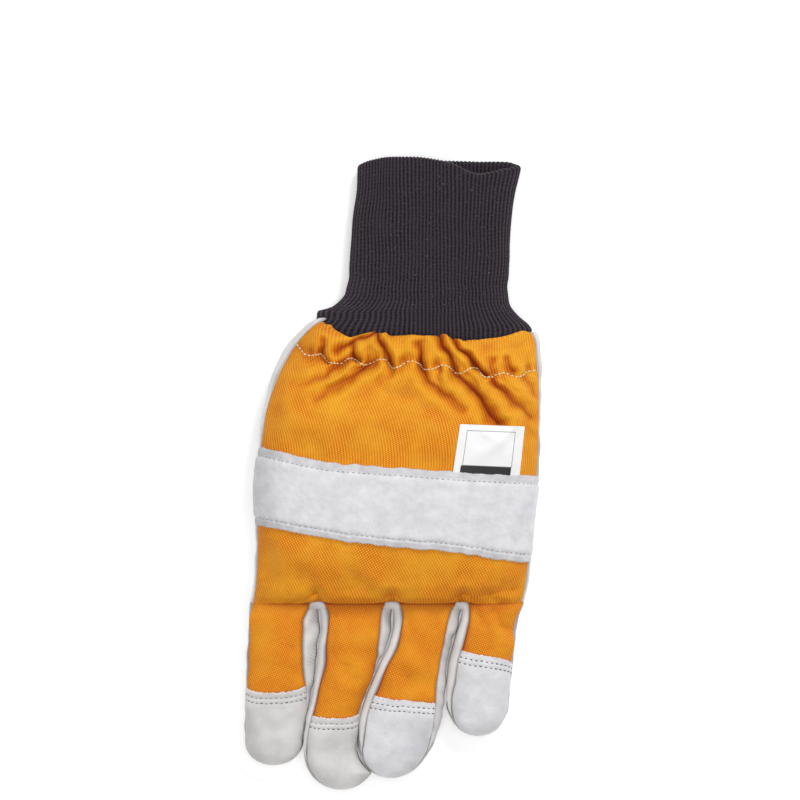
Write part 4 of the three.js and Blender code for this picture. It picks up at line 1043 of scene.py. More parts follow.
for i in range(4):
    made = dress(finger_back(i), finger_cloth, "orange_fabric", f"{NAMES[i]}_back")


# Fingertip caps. Leather laid over the fabric and double stitched across the finger: smooth grain on the
# index and middle fingers, napped split on the ring and little ones. Their cut edges stand a millimetre
# proud and are a little frayed.

CAP_WALL = 1.6
CAP_RAISE = 0.75
STITCH_ROWS = (2.1, 4.4)
# How strongly and how far painted shade darkens each cap towards its left side and towards its right side, where the
# rounded cap turns from the light
CAP_SIDES = ((0.5, 10, 0.22, 6), (0.3, 6, 0.34, 7), (0.1, 5, 0.3, 13), (0.22, 6, 0.14, 6))
# Its darkest tone serves the seam lines, the greyer fringe and the painted shade
split_leather = leather(
    "Split leather", pale=(234, 234, 237), dull=(215, 215, 219), seam_and_shade_tone=(118, 114, 112),
    roughness=0.86, relief=0.5, pore=0.45, patch=6.0, sheen=0.4,
)


def carried(tree, name, kind="FLOAT"):
    """A mark that the points carry, as a geometry tree reads it."""
    return node(tree, "GeometryNodeInputNamedAttribute", {"Name": name}, data_type=kind).outputs[0]


# One row of stitches along a line of edges: a short thread capsule at each step, turned along the line
# and laid on its "up" side
stitch_row, given, result, stitch_inputs = node_group(
    "Stitch Row",
    "GeometryNodeTree",
    {
        "Geometry": ("Geometry", None), "Pitch": ("Float", 0.003), "Stitch Length": ("Float", 0.002),
        "Thread Radius": ("Float", 0.0003), "Unevenness": ("Float", 0.15), "Seed": ("Int", 1),
        "Thread": ("Material", None),
    },
    {"Geometry": "Geometry"},
)
path = {"Curve": node(stitch_row, "GeometryNodeMeshToCurve", {0: given["Geometry"]}).outputs[0]}
steps = node(stitch_row, "GeometryNodeResampleCurve", {**path, "Length": given["Pitch"]}, mode="LENGTH")
line_way = {"Vector": node(stitch_row, "GeometryNodeInputTangent").outputs[0]}
along = node(stitch_row, "FunctionNodeAlignRotationToVector", line_way, axis="X")
up_way = {"Rotation": along.outputs[0], "Vector": carried(stitch_row, "up", "FLOAT_VECTOR")}
laid = node(stitch_row, "FunctionNodeAlignRotationToVector", up_way, axis="Z", pivot_axis="X")
ball = node(stitch_row, "GeometryNodeMeshUVSphere", {"Segments": 6, "Rings": 6, "Radius": 1.0})
half_length, thickness = times(stitch_row, given["Stitch Length"], 0.5), given["Thread Radius"]
thick = node(stitch_row, "ShaderNodeCombineXYZ", {0: half_length, 1: thickness, 2: thickness})
shaped = node(stitch_row, "GeometryNodeTransform", {"Geometry": ball.outputs[0], "Scale": thick.outputs[0]})
most = value_of(stitch_row, "ADD", given["Unevenness"], 1.0)
least = value_of(stitch_row, "SUBTRACT", 1.0, given["Unevenness"])
sizes = {2: least, 3: most, "Seed": given["Seed"]}
size = node(stitch_row, "FunctionNodeRandomValue", sizes, data_type="FLOAT")
stitches = node(stitch_row, "GeometryNodeInstanceOnPoints", {
    "Points": steps.outputs[0], "Instance": shaped.outputs[0], "Rotation": laid.outputs[0],
    "Scale": size.outputs[1],
})
real = node(stitch_row, "GeometryNodeRealizeInstances", {0: stitches.outputs[0]})
threaded = node(stitch_row, "GeometryNodeSetMaterial", {"Geometry": real.outputs[0], "Material": given["Thread"]})
stitch_row.links.new(threaded.outputs[0], result[0])


def baked(piece, tree, inputs, identifiers):
    """Runs a geometry tree on a piece and keeps its result as the piece's plain mesh."""
    modifier = piece.modifiers.new(tree.name, "NODES")
    modifier.node_group = tree
    for label, value in inputs.items():
        modifier[identifiers[label]] = value
    bpy.context.view_layer.update()
    evaluated = piece.evaluated_get(bpy.context.evaluated_depsgraph_get())
    mesh = bpy.data.meshes.new_from_object(evaluated)
    piece.modifiers.clear()
    piece.data = mesh
    mesh.name = piece.name
    return piece


def thread(name, tone, shade):
    """Twisted sewing thread."""
    made, tree, shader = new_finish(name)
    winding = {"Vector": node(tree, "ShaderNodeTexCoord").outputs["Object"], "Scale": 900.0, "Distortion": 1.5}
    twist = node(tree, "ShaderNodeTexWave", winding, bands_direction="DIAGONAL").outputs["Fac"]
    tree.links.new(between(tree, twist, colour(*shade), colour(*tone)), shader.inputs["Base Color"])
    emboss(tree, shader, 0.5, 0.1, twist)
    set_values(shader, {"Roughness": 0.7, "Sheen Weight": 0.2})
    return made


def bare_points(name, spots, ups, edges=()):
    """Points in millimetres, each with its own direction, for threads and fibres to grow on."""
    mesh = bpy.data.meshes.new(name)
    mesh.from_pydata(placed(spots).tolist(), edges, [])
    ways = mesh.attributes.new("up", "FLOAT_VECTOR", "POINT")
    ways.data.foreach_set("vector", np.asarray(ups, np.float32).ravel())
    made = bpy.data.objects.new(name, mesh)
    bpy.context.scene.collection.objects.link(made)
    return made


def stitched(name, lines, finish, pitch, length, radius, seed, sunk=0.0):
    """Rows of stitches. Each line is its points and the outward directions there, in millimetres."""
    spots, ups, edges = [], [], []
    for line, up in lines:
        start = len(spots)
        spots += list(line - up * sunk)
        ups += list(up)
        edges += [(start + k, start + k + 1) for k in range(len(line) - 1)]
    rows = bare_points(name, spots, ups, edges)
    baked(rows, stitch_row, {
        "Pitch": pitch / 1000, "Stitch Length": length / 1000, "Thread Radius": radius / 1000,
        "Unevenness": 0.12, "Seed": seed, "Thread": finish,
    }, stitch_inputs)
    rows.data.shade_smooth()
    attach(rows, "root")
    return rows


grey_thread = thread("Grey thread", (96, 93, 94), (48, 46, 48))
pale_thread = thread("Pale thread", (164, 161, 160), (116, 113, 112))
cream_thread = thread("Cream thread", (250, 240, 205), (214, 196, 150))


# Loose fibres: a thin cone at each point of the geometry, leaning from its "up" direction by a random spread
loose_fibres, given, result, fibre_inputs = node_group(
    "Loose Fibres",
    "GeometryNodeTree",
    {
        "Geometry": ("Geometry", None), "Length": ("Float", 0.0008), "Radius": ("Float", 0.00005),
        "Spread": ("Float", 0.6), "Seed": ("Int", 1), "Fibre": ("Material", None),
    },
    {"Geometry": "Geometry"},
)
tapered = {"Vertices": 5, "Side Segments": 2, "Radius Top": 0.3, "Radius Bottom": 1.0, "Depth": 1.0}
cone = node(loose_fibres, "GeometryNodeMeshCone", tapered)
thick = node(loose_fibres, "ShaderNodeCombineXYZ", {0: given["Radius"], 1: given["Radius"], 2: given["Length"]})
shaped = node(loose_fibres, "GeometryNodeTransform", {"Geometry": cone.outputs[0], "Scale": thick.outputs[0]})
up_way = {"Vector": carried(loose_fibres, "up", "FLOAT_VECTOR")}
aligned = node(loose_fibres, "FunctionNodeAlignRotationToVector", up_way, axis="Z")
most = node(loose_fibres, "ShaderNodeCombineXYZ", {0: given["Spread"], 1: given["Spread"], 2: 3.1})
least = node(loose_fibres, "ShaderNodeVectorMath", {0: most.outputs[0], "Scale": -1.0}, operation="SCALE")
leans = {0: least.outputs[0], 1: most.outputs[0], "Seed": given["Seed"]}
lean = node(loose_fibres, "FunctionNodeRandomValue", leans, data_type="FLOAT_VECTOR")
both = {0: aligned.outputs[0], 1: lean.outputs[0]}
leaning = node(loose_fibres, "FunctionNodeRotateRotation", both, rotation_space="LOCAL")
size = node(loose_fibres, "FunctionNodeRandomValue", {2: 0.4, 3: 1.3, "Seed": given["Seed"]}, data_type="FLOAT")
spread_out = node(loose_fibres, "GeometryNodeInstanceOnPoints", {
    "Points": given["Geometry"], "Instance": shaped.outputs[0], "Rotation": leaning.outputs[0],
    "Scale": size.outputs[1],
})
real = node(loose_fibres, "GeometryNodeRealizeInstances", {0: spread_out.outputs[0]})
grown = node(loose_fibres, "GeometryNodeSetMaterial", {"Geometry": real.outputs[0], "Material": given["Fibre"]})
loose_fibres.links.new(grown.outputs[0], result[0])


def fibres(name, spots, ups, finish, length, radius, spread, seed):
    """Loose fibres at points in millimetres, each along its own direction."""
    made = bare_points(name, spots, ups)
    baked(made, loose_fibres, {
        "Length": length / 1000, "Radius": radius / 1000, "Spread": spread, "Seed": seed, "Fibre": finish,
    }, fibre_inputs)
    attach(made, "root")
    return made


def row_inside(grid, normals, place, first=0.04, last=0.96, count=80):
    """A line across a grid at one place along it, and the directions out of it."""
    columns = np.linspace(first, last, count) * (grid.shape[1] - 1)
    low = np.clip(columns.astype(int), 0, grid.shape[1] - 2)
    part = (columns - low)[:, None]
    row = np.clip(place, 0, len(grid) - 1)
    k = min(int(row), len(grid) - 2)

    def pick(values):
        near, far = (mix(line[low], line[low + 1], part) for line in (values[k], values[k + 1]))
        return mix(near, far, row - k)

    return pick(grid), pick(normals)


def cap_piece(i, rows=96, columns=72):
    across = upper_spread(columns)
    share = np.sin(np.linspace(0, math.pi / 2, rows))[:, None]
    start, length = cap_start(i, across), FINGERS["length"][i]
    frayed = 0.16 * ripples(across * 60, 0, 2.3, 90 + i) + 0.12 * ripples(across * 60, 0, 5.5, 95 + i)

    def surface(inset, raise_by):
        d = mix(start + frayed, length - inset, share)
        right, left = upper_angles(i, d)
        proud = raise_by * (1 - step(d - start, 7, 18))
        return finger_point(i, d, mix(right, left, across), inset - proud, 1), d - start

    (outer, past), (inner, _) = surface(0, CAP_RAISE), surface(CAP_WALL, CAP_RAISE * 0.4)
    grooves = sum(bell(past - row, 0.4) for row in STITCH_ROWS)
    relief = -0.26 * grooves + 0.14 * bell(past - 3.2, 0.8) - 0.15 * (1 - step(past, 0.4, 2.0))
    relief = relief + 0.16 * bumps(outer, 10, 100 + i)
    edge = np.minimum(across, 1 - across) * 30 + 0 * past
    inner_side = (across > 0.5) * (i > 0) + (across < 0.5) * (i < 3)
    relief = (relief - 0.5 * bell(edge, 0.5) * inner_side) * (1 - share**10)
    out = facing(outer, inner)
    outer = outer + out * relief[..., None]
    # Seam marks: darker along the sides that meet a neighbouring finger, and painted shade in the stitch grooves
    seam = np.clip(0.4 * bell(edge, 0.45) * inner_side + 0.12 * grooves, 0, 1)
    # A darker band between the cut edge and the first row of stitches
    strip = (0.3 if i < 2 else 0.1) * step(past, 0.2, 0.6) * (1 - step(past, 1.9, 2.4))
    at_left, at_right = (1 - across) * 30, across * 30
    left_dark, left_reach, right_dark, right_reach = CAP_SIDES[i]
    # Painted shade towards both sides, where the rounded cap turns from the light, with a little random mottling
    soft = left_dark * bell(at_left, left_reach) + right_dark * bell(at_right, right_reach)
    soft = soft + 0.05 * bumps(outer, 13, 104 + i)
    strip = np.clip(strip + soft * step(past, 3, 9), 0, 1)
    lines = []
    for row in STITCH_ROWS:
        fit = np.clip(np.searchsorted(past[:, columns // 2], row), 1, rows - 1)
        before, after = past[fit - 1, columns // 2], past[fit, columns // 2]
        lines.append(row_inside(outer, out, fit - 1 + (row - before) / (after - before)))
    lines.append(row_inside(outer, out, 0.4, 0.02, 0.98, 130))
    marks = {"seam": seam, "shade": strip}
    return sewn_sheet(f"{NAMES[i]}_cap", outer, inner, marks=marks, rounding=0.7, tip=True), lines


frayed_leather = thread("Frayed leather", (236, 232, 231), (196, 190, 190))
for i in range(4):
    finish, slot, first_row = (
        (grain_leather, "grain_leather", pale_thread) if i < 2 else (split_leather, "split_leather", grey_thread)
    )
    cap, lines = cap_piece(i)
    edge, outs = lines.pop()
    towards_wrist = outs * 0.25 + np.array([0, 1, 0])
    fibres(
        f"{NAMES[i]}_cap_fray", edge, towards_wrist, frayed_leather,
        length=0.7, radius=0.07, spread=0.7, seed=30 + i,
    )
    dress(cap, finish, slot, f"{NAMES[i]}_tip_cap")
    for row, (line, sewing) in enumerate(zip(lines, (first_row, grey_thread))):
        stitched(
            f"{NAMES[i]}_cap_stitches_{row + 1}", [line], sewing,
            pitch=2.25, length=1.3, radius=0.3, seed=7 + i, sunk=0.08,
        )


# Stitches along the elastic. Cream thread sewn through fabric and elastic.
# The elastic draws it up into a wavy line across the gathered back.


def lying_on(piece, line):
    """Drops (x, y) places onto a piece from above: the points they meet, and the directions out of it."""
    tree = BVHTree.FromObject(piece, bpy.context.evaluated_depsgraph_get())
    spots, ups = [], []
    for x, y in line:
        start = Vector(placed((x, y, 90.0)))
        hit, normal, _, _ = tree.ray_cast(start, Vector((0, 0, -1)))
        if hit is not None:
            spots.append(np.array(hit) * 1000 + FOOTPRINT_MIDDLE)
            ups.append(np.array(normal if normal.z > 0 else -normal))
    return np.array(spots), np.array(ups)


along_x = np.linspace(-40.2, 65.6, 420)
elastic_line = np.stack([along_x, read(ELASTIC, "y", along_x, "x")], 1)
stitched(
    "elastic_stitches", [lying_on(back_panel, elastic_line)], cream_thread,
    pitch=2.15, length=1.6, radius=0.36, seed=3, sunk=-0.1,
)


# Knuckle band. A strip of off-white split leather right across the back, sewn down along both edges with
# the nap outwards. Its cut edges fray into a greyer fringe about three millimetres wide outside the stitches.

BAND_WALL = 1.2
LAID_GAP = 0.5
BAND_STITCHES = 3.0


def band_piece(rows=54, columns=300):
    v = np.linspace(0, 1, columns)[None, :]
    u = np.linspace(0, 1, rows)[:, None]
    u = mix(u, step(u, 0, 1), 0.5)
    angle = mix(edge_angle(0.985), math.pi - edge_angle(0.985), v)
    probe = hand_point(HAND_LENGTH / 3, angle)[..., 0]

    def ragged(seed):
        return 0.12 * ripples(probe, 0, 1.5, seed) + 0.25 * ripples(probe, 0, 7.0, seed + 1)

    near, far = read(BAND_NEAR, "y", probe, "x") + ragged(110), read(BAND_FAR, "y", probe, "x") + ragged(120)
    y = mix(near, far, u)
    right, left = hand_angles(y)
    turn = mix(right + 0.02, left - 0.02, v)

    def surface(lift):
        grid = hand_point(y, turn, -lift)
        grid[..., 2] += hem_relief(grid[..., 0], y)[0] * np.sin(turn) ** 0.6
        return grid

    outer, inner = surface(LAID_GAP + BAND_WALL), surface(LAID_GAP - 0.35)
    from_edge = np.minimum(y - near, far - y)
    pucker = 0.18 * np.sin(2 * math.pi * probe / 3.0) * bell(from_edge - BAND_STITCHES, 1.6)
    relief = 0.35 * bell(from_edge - 5.2, 2.2) - 0.55 * bell(from_edge - BAND_STITCHES, 0.6)
    relief = relief - 0.35 * (1 - step(from_edge, 0, 2.6)) + pucker
    relief = relief + 0.12 * bumps(outer, 9, 130) + 0.05 * bumps(outer, 2.4, 131)
    out = facing(outer, inner)
    outer = outer + out * relief[..., None]
    # Marks: a darker line along the stitches, painted shade at the left end where the band turns down over the
    # hand's edge, and a greyer tone on the frayed fringe
    fringe = 0.34 + 0.1 * bumps(outer, 5, 132)
    marks = {
        "seam": 0.15 * bell(from_edge - BAND_STITCHES, 0.45),
        "shade": 0.5 * (1 - step(outer[..., 0], -60, -42)) + fringe * (1 - step(from_edge, 1.6, 2.8)),
    }
    edges = [((outer[place] + inner[place]) / 2, out[place]) for place in (0, rows - 1)]
    return sewn_sheet("knuckle_band_piece", outer, inner, marks=marks, rounding=0.7), edges


band, band_edges = band_piece()
dress(band, split_leather, "split_leather", "knuckle_band")
frayed_edges = [
    (edge, outs * 0.2 + np.array([0, side, 0])) for (edge, outs), side in zip(band_edges, (-1, 1))
]
fray_spots, fray_ways = (np.concatenate(values) for values in zip(*frayed_edges))
fibres(
    "band_fray", fray_spots, fray_ways, frayed_leather,
    length=0.9, radius=0.07, spread=0.8, seed=6,
)
across_x = np.linspace(-57.0, 67.0, 420)
band_lines = []
for table, side in ((BAND_NEAR, 1), (BAND_FAR, -1)):
    across_y = read(table, "y", across_x, "x") + side * BAND_STITCHES
    band_lines.append(lying_on(band, np.stack([across_x, across_y], 1)))
stitched(
    "band_stitches", band_lines, pale_thread,
    pitch=2.4, length=1.3, radius=0.24, seed=5, sunk=0.05,
)


# Label. A small white woven patch held under the band's upper edge.
# It has a thin printed frame and a plain dark bar.

LABEL_WALL = 0.6
LABEL_WIDTH = 29.3
LABEL_LENGTH = 22.6
LABEL_CORNERS = ((29.1, 57.4), (58.8, 56.0), (32.5, 80.1), (61.3, 79.0))
LABEL_FRAME = {"left": 3.5, "right": 25.5, "low": 4.6, "high": 20.2}
FRAME_LINE = 0.28

label_cloth, tree, shader = new_finish("White label")
laid_flat = node(tree, "ShaderNodeUVMap", uv_map="Cut").outputs[0]
spot = node(tree, "ShaderNodeSeparateXYZ", {0: laid_flat}).outputs


def inside_box(left, right, low, high):
    """1 inside a box on the label, 0 outside it."""
    sides = []
    for axis, start, end in (("X", left, right), ("Y", low, high)):
        past_start = value_of(tree, "GREATER_THAN", spot[axis], start)
        sides.append(times(tree, past_start, value_of(tree, "LESS_THAN", spot[axis], end)))
    return times(tree, *sides)


left, right, low, high = (LABEL_FRAME[side] for side in ("left", "right", "low", "high"))
outside = inside_box(left, right, low, high)
within = inside_box(left + FRAME_LINE, right - FRAME_LINE, low + FRAME_LINE, high - FRAME_LINE)
bar = inside_box(left - 0.6, right - 0.2, 0.4, low)
ink = value_of(tree, "MAXIMUM", times(tree, value_of(tree, "SUBTRACT", outside, within), 0.75), bar)
threading = {"Vector": laid_flat, "Scale": 0.7, "Distortion": 0.3}
ribs = node(tree, "ShaderNodeTexWave", threading, bands_direction="Y").outputs["Fac"]
paper = between(tree, ribs, colour(244, 244, 244), colour(252, 252, 252))
tree.links.new(between(tree, ink, paper, colour(38, 38, 40)), shader.inputs["Base Color"])
emboss(tree, shader, 0.4, 0.1, ribs)
set_values(shader, {"Roughness": 0.55})


def label_piece(rows=34, columns=44):
    u, v = np.linspace(0, 1, rows)[:, None], np.linspace(0, 1, columns)[None, :]
    low_left, low_right, high_left, high_right = np.array(LABEL_CORNERS)
    flat = mix(mix(low_left, low_right, v[..., None]), mix(high_left, high_right, v[..., None]), u[..., None])
    x, y = flat[..., 0], flat[..., 1]
    tuck = (1 - step(u, 0, 0.12)) * 0.4
    curl = 0.5 * step(u, 0.7, 1.0) * (0.4 + 0.6 * np.abs(2 * v - 1))
    under = lying_on(back_panel, flat.reshape(-1, 2))[0][:, 2].reshape(x.shape)
    rest = under.copy()
    for _ in range(40):
        for _ in range(10):
            rest = softened(rest, 1)
            rest[[0, -1], :] = 2 * rest[[1, -2], :] - rest[[2, -3], :]
            rest[:, [0, -1]] = 2 * rest[:, [1, -2]] - rest[:, [2, -3]]
        rest = rest + 0.3 * np.maximum(under - rest, 0)
    rest = np.maximum(rest, under) + LAID_GAP / 2 + curl + 0.1 * ripples(x, y, 13, 140)
    inner, outer = points(x, y, rest), points(x, y, rest + LABEL_WALL * (1 - 0.5 * tuck))
    cut = np.stack(np.broadcast_arrays(v * LABEL_WIDTH, u * LABEL_LENGTH), -1)
    return sewn_sheet("label_piece", outer, inner, cut=cut, rounding=0.5)


label = dress(label_piece(), label_cloth, "white_label", "label")


# Knit cuff. A double tube of very dark ribbed knit, sewn in under the gathered hem and folded over at the
# mouth. Its ribs fan out to the seam; lint sticks to them.

CUFF_LENGTH = 79.0
CUFF_WIDTH = 72.0
CUFF_HEIGHT = 18.0
CUFF_WALL = 3.0
CUFF_MIDDLE = 21.0
CUFF_TUCK = 3.0
RIB_PITCH = 1.62
RIB_DEPTH = 0.45
# How far up the knit ends, on its near and on its far layer
CUFF_MOUTH = {
    "x": (-14, -8, 0, 12, 22, 30, 37, 42, 49, 55, 61),
    "near": (196.6, 198.6, 199.8, 199.9, 198.8, 196.8, 193.6, 192.4, 193.4, 194.8, 194.2),
    "far": (196.4, 198.0, 198.8, 198.9, 198.8, 198.6, 198.4, 198.2, 198.2, 198.0, 196.2),
}
CUFF_ROWS = {
    "at": (0.0, 0.03, 0.063, 0.092, 0.134, 0.147, 0.162, 0.191, 0.235, 0.32, 0.6, 0.8, 1.0),
    "left": (-1.675, -1.62, -1.53, -1.455, -1.44, -1.33, -1.24, -1.165, -1.1, -1.05, -1.0, -0.967, -0.945),
    "right": (1.2, 1.21, 1.164, 1.09, 1.0, 0.985, 0.968, 0.945, 0.925, 0.925, 0.945, 1.005, 1.085),
    "top": (1.1, 1.1, 1.1, 1.09, 1.06, 1.055, 1.045, 1.03, 1.0, 0.96, 0.9, 0.9, 0.88),
}
# Its narrowest place, left and right, and how sharply the ribs fan out from there towards the seam
CUFF_WAIST = (-1.0, 0.92)
FAN = 2.2


def cuff_point(y, angle, inset=0.0):
    at = (y - HAND_LENGTH) / CUFF_LENGTH
    left, right = (CUFF_MIDDLE + read(CUFF_ROWS, side, at) * CUFF_WIDTH / 2 for side in ("left", "right"))
    waist_left, waist_right = (CUFF_MIDDLE + share * CUFF_WIDTH / 2 for share in CUFF_WAIST)
    top = read(CUFF_ROWS, "top", at) * CUFF_HEIGHT
    seam, power = 0.42 * top, 2 / TOP_POWER
    turn = power_of(np.cos(angle), power)
    x = (waist_left + waist_right) / 2 + ((waist_right - waist_left) / 2 - inset) * turn
    x = x + np.where(turn > 0, right - waist_right, left - waist_left) * np.abs(turn) ** FAN
    rise = power_of(np.sin(angle), power)
    low = np.maximum(inset, seam + (seam + FLATTENING / 2 - inset) * rise)
    own = points(x, y, np.where(rise > 0, seam + (top - seam - inset) * rise, low))
    sewn = hand_point(y, angle, FABRIC + 2 * CLEARANCE + inset)
    made = mix(sewn, own, step(y, HAND_LENGTH + 4, HAND_LENGTH + 15)[..., None])
    made[..., 0] = own[..., 0]
    return made


rib_knit, given, result, rib_inputs = node_group(
    "Rib Knit",
    "GeometryNodeTree",
    {
        "Geometry": ("Geometry", None), "Ribs": ("Int", 90), "Rib Depth": ("Float", 0.00045),
        "Course Pitch": ("Float", 1.3), "Yarn": ("Material", None),
    },
    {"Geometry": "Geometry"},
)
turn = times(rib_knit, times(rib_knit, carried(rib_knit, "around"), given["Ribs"]), 2 * math.pi)
wave = value_of(rib_knit, "MULTIPLY_ADD", value_of(rib_knit, "COSINE", turn), 0.5, 0.5)
crest = value_of(rib_knit, "POWER", wave, 0.7)
passed = value_of(rib_knit, "DIVIDE", carried(rib_knit, "along"), given["Course Pitch"])
courses = value_of(rib_knit, "SINE", times(rib_knit, passed, 2 * math.pi))
depth = times(rib_knit, carried(rib_knit, "ribbed"), given["Rib Depth"])
height = times(rib_knit, value_of(rib_knit, "MULTIPLY_ADD", courses, 0.04, crest), depth)
# The crest also goes on as a mark, for the knit's painted light
crested = {"Geometry": given["Geometry"], "Name": "crest", "Value": crest}
marked = node(rib_knit, "GeometryNodeStoreNamedAttribute", crested, data_type="FLOAT", domain="POINT")
outwards = {0: node(rib_knit, "GeometryNodeInputNormal").outputs[0], "Scale": height}
push = node(rib_knit, "ShaderNodeVectorMath", outwards, operation="SCALE")
raised = node(rib_knit, "GeometryNodeSetPosition", {"Geometry": marked.outputs[0], "Offset": push.outputs[0]})
knitted = node(rib_knit, "GeometryNodeSetMaterial", {"Geometry": raised.outputs[0], "Material": given["Yarn"]})
real = node(rib_knit, "GeometryNodeRealizeInstances", {0: knitted.outputs[0]})
rib_knit.links.new(real.outputs[0], result[0])

dark_knit, tree, shader = new_finish("Dark knit")
crest = mark_on(tree, "crest")
laid_flat = node(tree, "ShaderNodeUVMap", uv_map="Cut").outputs[0]
rows_apart = {"Vector": laid_flat, "Scale": 0.185, "Distortion": 0.6, "Detail": 1.0, "Detail Scale": 2.0}
courses = node(tree, "ShaderNodeTexWave", rows_apart, bands_direction="Y")
loops = times(tree, courses.outputs["Fac"], crest)
# Painted light: rib crests lighter and furrows darker, with a painted highlight on the loops along each course;
# hairs and fuzz are the yarn's own tone
base = between(tree, stretched(tree, crest, 0.2, 0.95), colour(12, 9, 13), colour(56, 48, 57))
lit = between(tree, times(tree, loops, 0.16), base, colour(92, 80, 92))
hairs = stretched(tree, noise(tree, laid_flat, 1.1, 4.0, 0.75), 0.5, 0.72, 0.0, 0.5)
haired = between(tree, hairs, lit, colour(92, 82, 91))
fuzz = stretched(tree, noise(tree, laid_flat, 0.12, 6.0, 0.7), 0.45, 0.75, 0.0, 0.35)
tree.links.new(between(tree, fuzz, haired, colour(64, 55, 64)), shader.inputs["Base Color"])
emboss(tree, shader, 0.7, 0.2, loops)
set_values(shader, {"Roughness": 0.92, "Sheen Weight": 0.16, "Sheen Roughness": 0.45, "Specular IOR Level": 0.2})


def cuff_piece(per_rib=7, length_rows=86, inside_rows=22):
    start, end = HAND_LENGTH - CUFF_TUCK, HAND_LENGTH + CUFF_LENGTH
    once_round = np.linspace(0, 2 * math.pi, 2 * FINE_STEPS + 1)
    ring = cuff_point(np.full(len(once_round), HAND_LENGTH + CUFF_LENGTH / 2), once_round)
    ribs = round(np.linalg.norm(np.diff(ring, axis=0), axis=1).sum() / RIB_PITCH)
    angle = 2 * math.pi * evenly(ring, ribs * per_rib)[None, :-1]
    around = np.linspace(0, 1, ribs * per_rib + 1)[None, :-1]
    x_end = cuff_point(np.array([[end]]), angle)[..., 0]
    upper = step(np.sin(angle), 0.05, 0.5)
    near, far = (read(CUFF_MOUTH, side, x_end, "x") for side in ("near", "far"))
    mouth = mix(far, near, upper) - 1.4
    outside = mix(start, mouth, np.linspace(0, 1, length_rows)[:, None])
    lining = mix(start, mouth, np.linspace(1, 0, inside_rows)[:, None])
    past = outside - HAND_LENGTH
    sag = 0.25 * np.sin(past * 2 * math.pi / 9 + np.cos(angle) * 1.5) * bell(past - 16, 12)
    sag = 0.5 * ripples(np.cos(angle) * 30, outside, 24, 151) + sag
    outer, inner = cuff_point(outside, angle, -0.1), cuff_point(lining, angle, CUFF_WALL - 0.4)
    middle = outer.mean(axis=1, keepdims=True)
    away = outer - middle
    away /= np.linalg.norm(away, axis=-1, keepdims=True)
    outer = outer + away * (sag * step(past, 3, 12))[..., None]
    fold = []
    turns = np.linspace(0, math.pi, 9)[1:-1]
    for t in turns:
        rim = mix(outer[-1], inner[0], (1 - math.cos(t)) / 2)
        rim[..., 1] += 1.5 * math.sin(t)
        fold.append(rim)
    hidden = [mix(inner[-1], outer[0], 0.5)]
    grid = np.concatenate([outer, np.stack(fold), inner, np.stack(hidden)])
    rows, columns = grid.shape[:2]
    index = np.arange(rows * columns).reshape(rows, columns)
    a, b = index, np.roll(index, -1, 0)
    quads = np.stack([a, np.roll(a, -1, 1), np.roll(b, -1, 1), b], -1).reshape(-1, 4)
    lengths = np.linalg.norm(np.diff(grid[:, 0], axis=0), axis=1)
    length = np.append(0, np.cumsum(lengths))[:, None] + 0 * angle
    cut = np.stack([around * ribs * RIB_PITCH + 0 * length, length], -1)
    ribbed = [step(np.arange(length_rows), 0, 3), np.ones(len(turns)), 0.7 * np.ones(inside_rows), [0]]
    ribbed = np.concatenate(ribbed)[:, None] + 0 * angle
    marks = {"around": around + 0 * length, "along": length, "ribbed": ribbed}
    marks = {mark: values.ravel() for mark, values in marks.items()}
    made = mesh_piece("knit_cuff_piece", grid.reshape(-1, 3), quads, cut.reshape(-1, 2), marks)
    side = made.data.polygons[columns // 4 + columns * (length_rows // 2)]
    if side.normal.z < 0:
        made.data.flip_normals()
    made.data.materials.append(dark_knit)
    knit = {"Ribs": ribs, "Rib Depth": RIB_DEPTH / 1000, "Course Pitch": 1.7, "Yarn": dark_knit}
    baked(made, rib_knit, knit, rib_inputs)
    spots = np.zeros(len(made.data.vertices) * 3, np.float32)
    made.data.vertices.foreach_get("co", spots)
    spots[2::3] = np.maximum(spots[2::3], 0)
    made.data.vertices.foreach_set("co", spots)
    return made


cuff = dress(cuff_piece(), dark_knit, "dark_knit", "knit_cuff")
cuff.data.shade_smooth()

lint_fibre = thread("Lint", (190, 184, 190), (150, 144, 150))
chance = np.random.default_rng(17)
lint_x, lint_y = chance.uniform(-12, 56, 130), chance.uniform(131, 194, 130)
lint_spots, lint_ups = lying_on(cuff, np.stack([lint_x, lint_y], 1))
turn = chance.uniform(0, 2 * math.pi, len(lint_spots))
flat_ways = points(np.cos(turn), np.sin(turn), 0.15)
fibres(
    "cuff_lint", lint_spots + 0.06 * lint_ups, flat_ways, lint_fibre,
    length=0.7, radius=0.05, spread=0.2, seed=4,
)


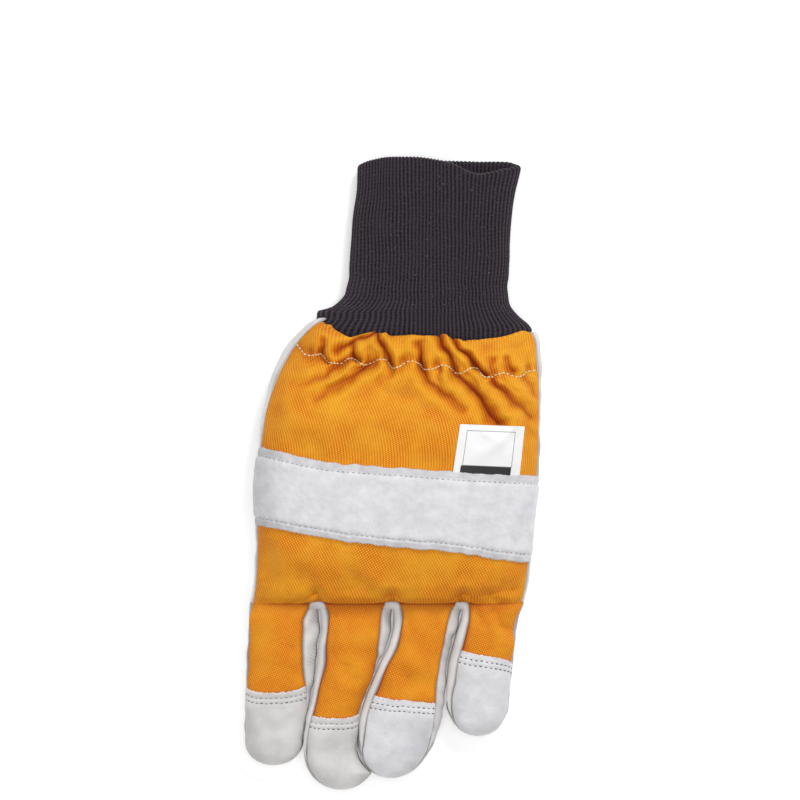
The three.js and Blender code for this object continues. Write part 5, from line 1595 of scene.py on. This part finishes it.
# Table, lights and camera. A pale table under a large soft light, with two weaker lights beside it.
# The camera stands high and looks straight down.

table_mesh = bpy.data.meshes.new("Table")
table_mesh.from_pydata([(-3, -3, 0), (3, -3, 0), (3, 3, 0), (-3, 3, 0)], [], [(0, 1, 2, 3)])
table = bpy.data.objects.new("Table", table_mesh)
bpy.context.scene.collection.objects.link(table)
table_white, _, shader = new_finish("Pale table")
set_values(shader, {"Base Color": (0.9, 0.9, 0.9, 1), "Roughness": 0.9})
set_values(shader, {"Emission Color": (1, 1, 1, 1), "Emission Strength": 0.3})
table_mesh.materials.append(table_white)


def soft_light(name, spot, size, watts, target=(0.0, 0.03, 0.0)):
    lamp = bpy.data.lights.new(name, "AREA")
    lamp.shape = "RECTANGLE"
    lamp.size, lamp.size_y = size
    lamp.energy = watts
    holder = bpy.data.objects.new(name, lamp)
    holder.location = spot
    holder.rotation_euler = (Vector(target) - Vector(spot)).to_track_quat("-Z", "Y").to_euler()
    bpy.context.scene.collection.objects.link(holder)
    return holder


soft_light("Key light", (0.95, 1.8, 1.75), (0.75, 0.75), 30)
soft_light("Overhead light", (0.1, 0.0, 1.9), (1.2, 1.2), 15)
soft_light("Fill light", (-1.4, -0.4, 0.9), (1.0, 1.0), 4)
world = bpy.data.worlds.new("Studio")
world.use_nodes = True
world.node_tree.nodes["Background"].inputs[0].default_value = (1, 1, 1, 1)
world.node_tree.nodes["Background"].inputs[1].default_value = 0.3
bpy.context.scene.world = world
bpy.context.scene.view_settings.view_transform = "Standard"

VIEW_WIDTH = 0.3592
CAMERA_HEIGHT = 2.4
VIEW_MIDDLE = (0.00302, 0.03377)
MEAN_HEIGHT = 0.016
camera = bpy.data.cameras.new("Camera")
camera.sensor_width = 36
camera.lens = 36 * (CAMERA_HEIGHT - MEAN_HEIGHT) / VIEW_WIDTH
camera.clip_end = 20
stand = bpy.data.objects.new("Camera", camera)
stand.location = (*VIEW_MIDDLE, CAMERA_HEIGHT)
bpy.context.scene.collection.objects.link(stand)
bpy.context.scene.camera = stand
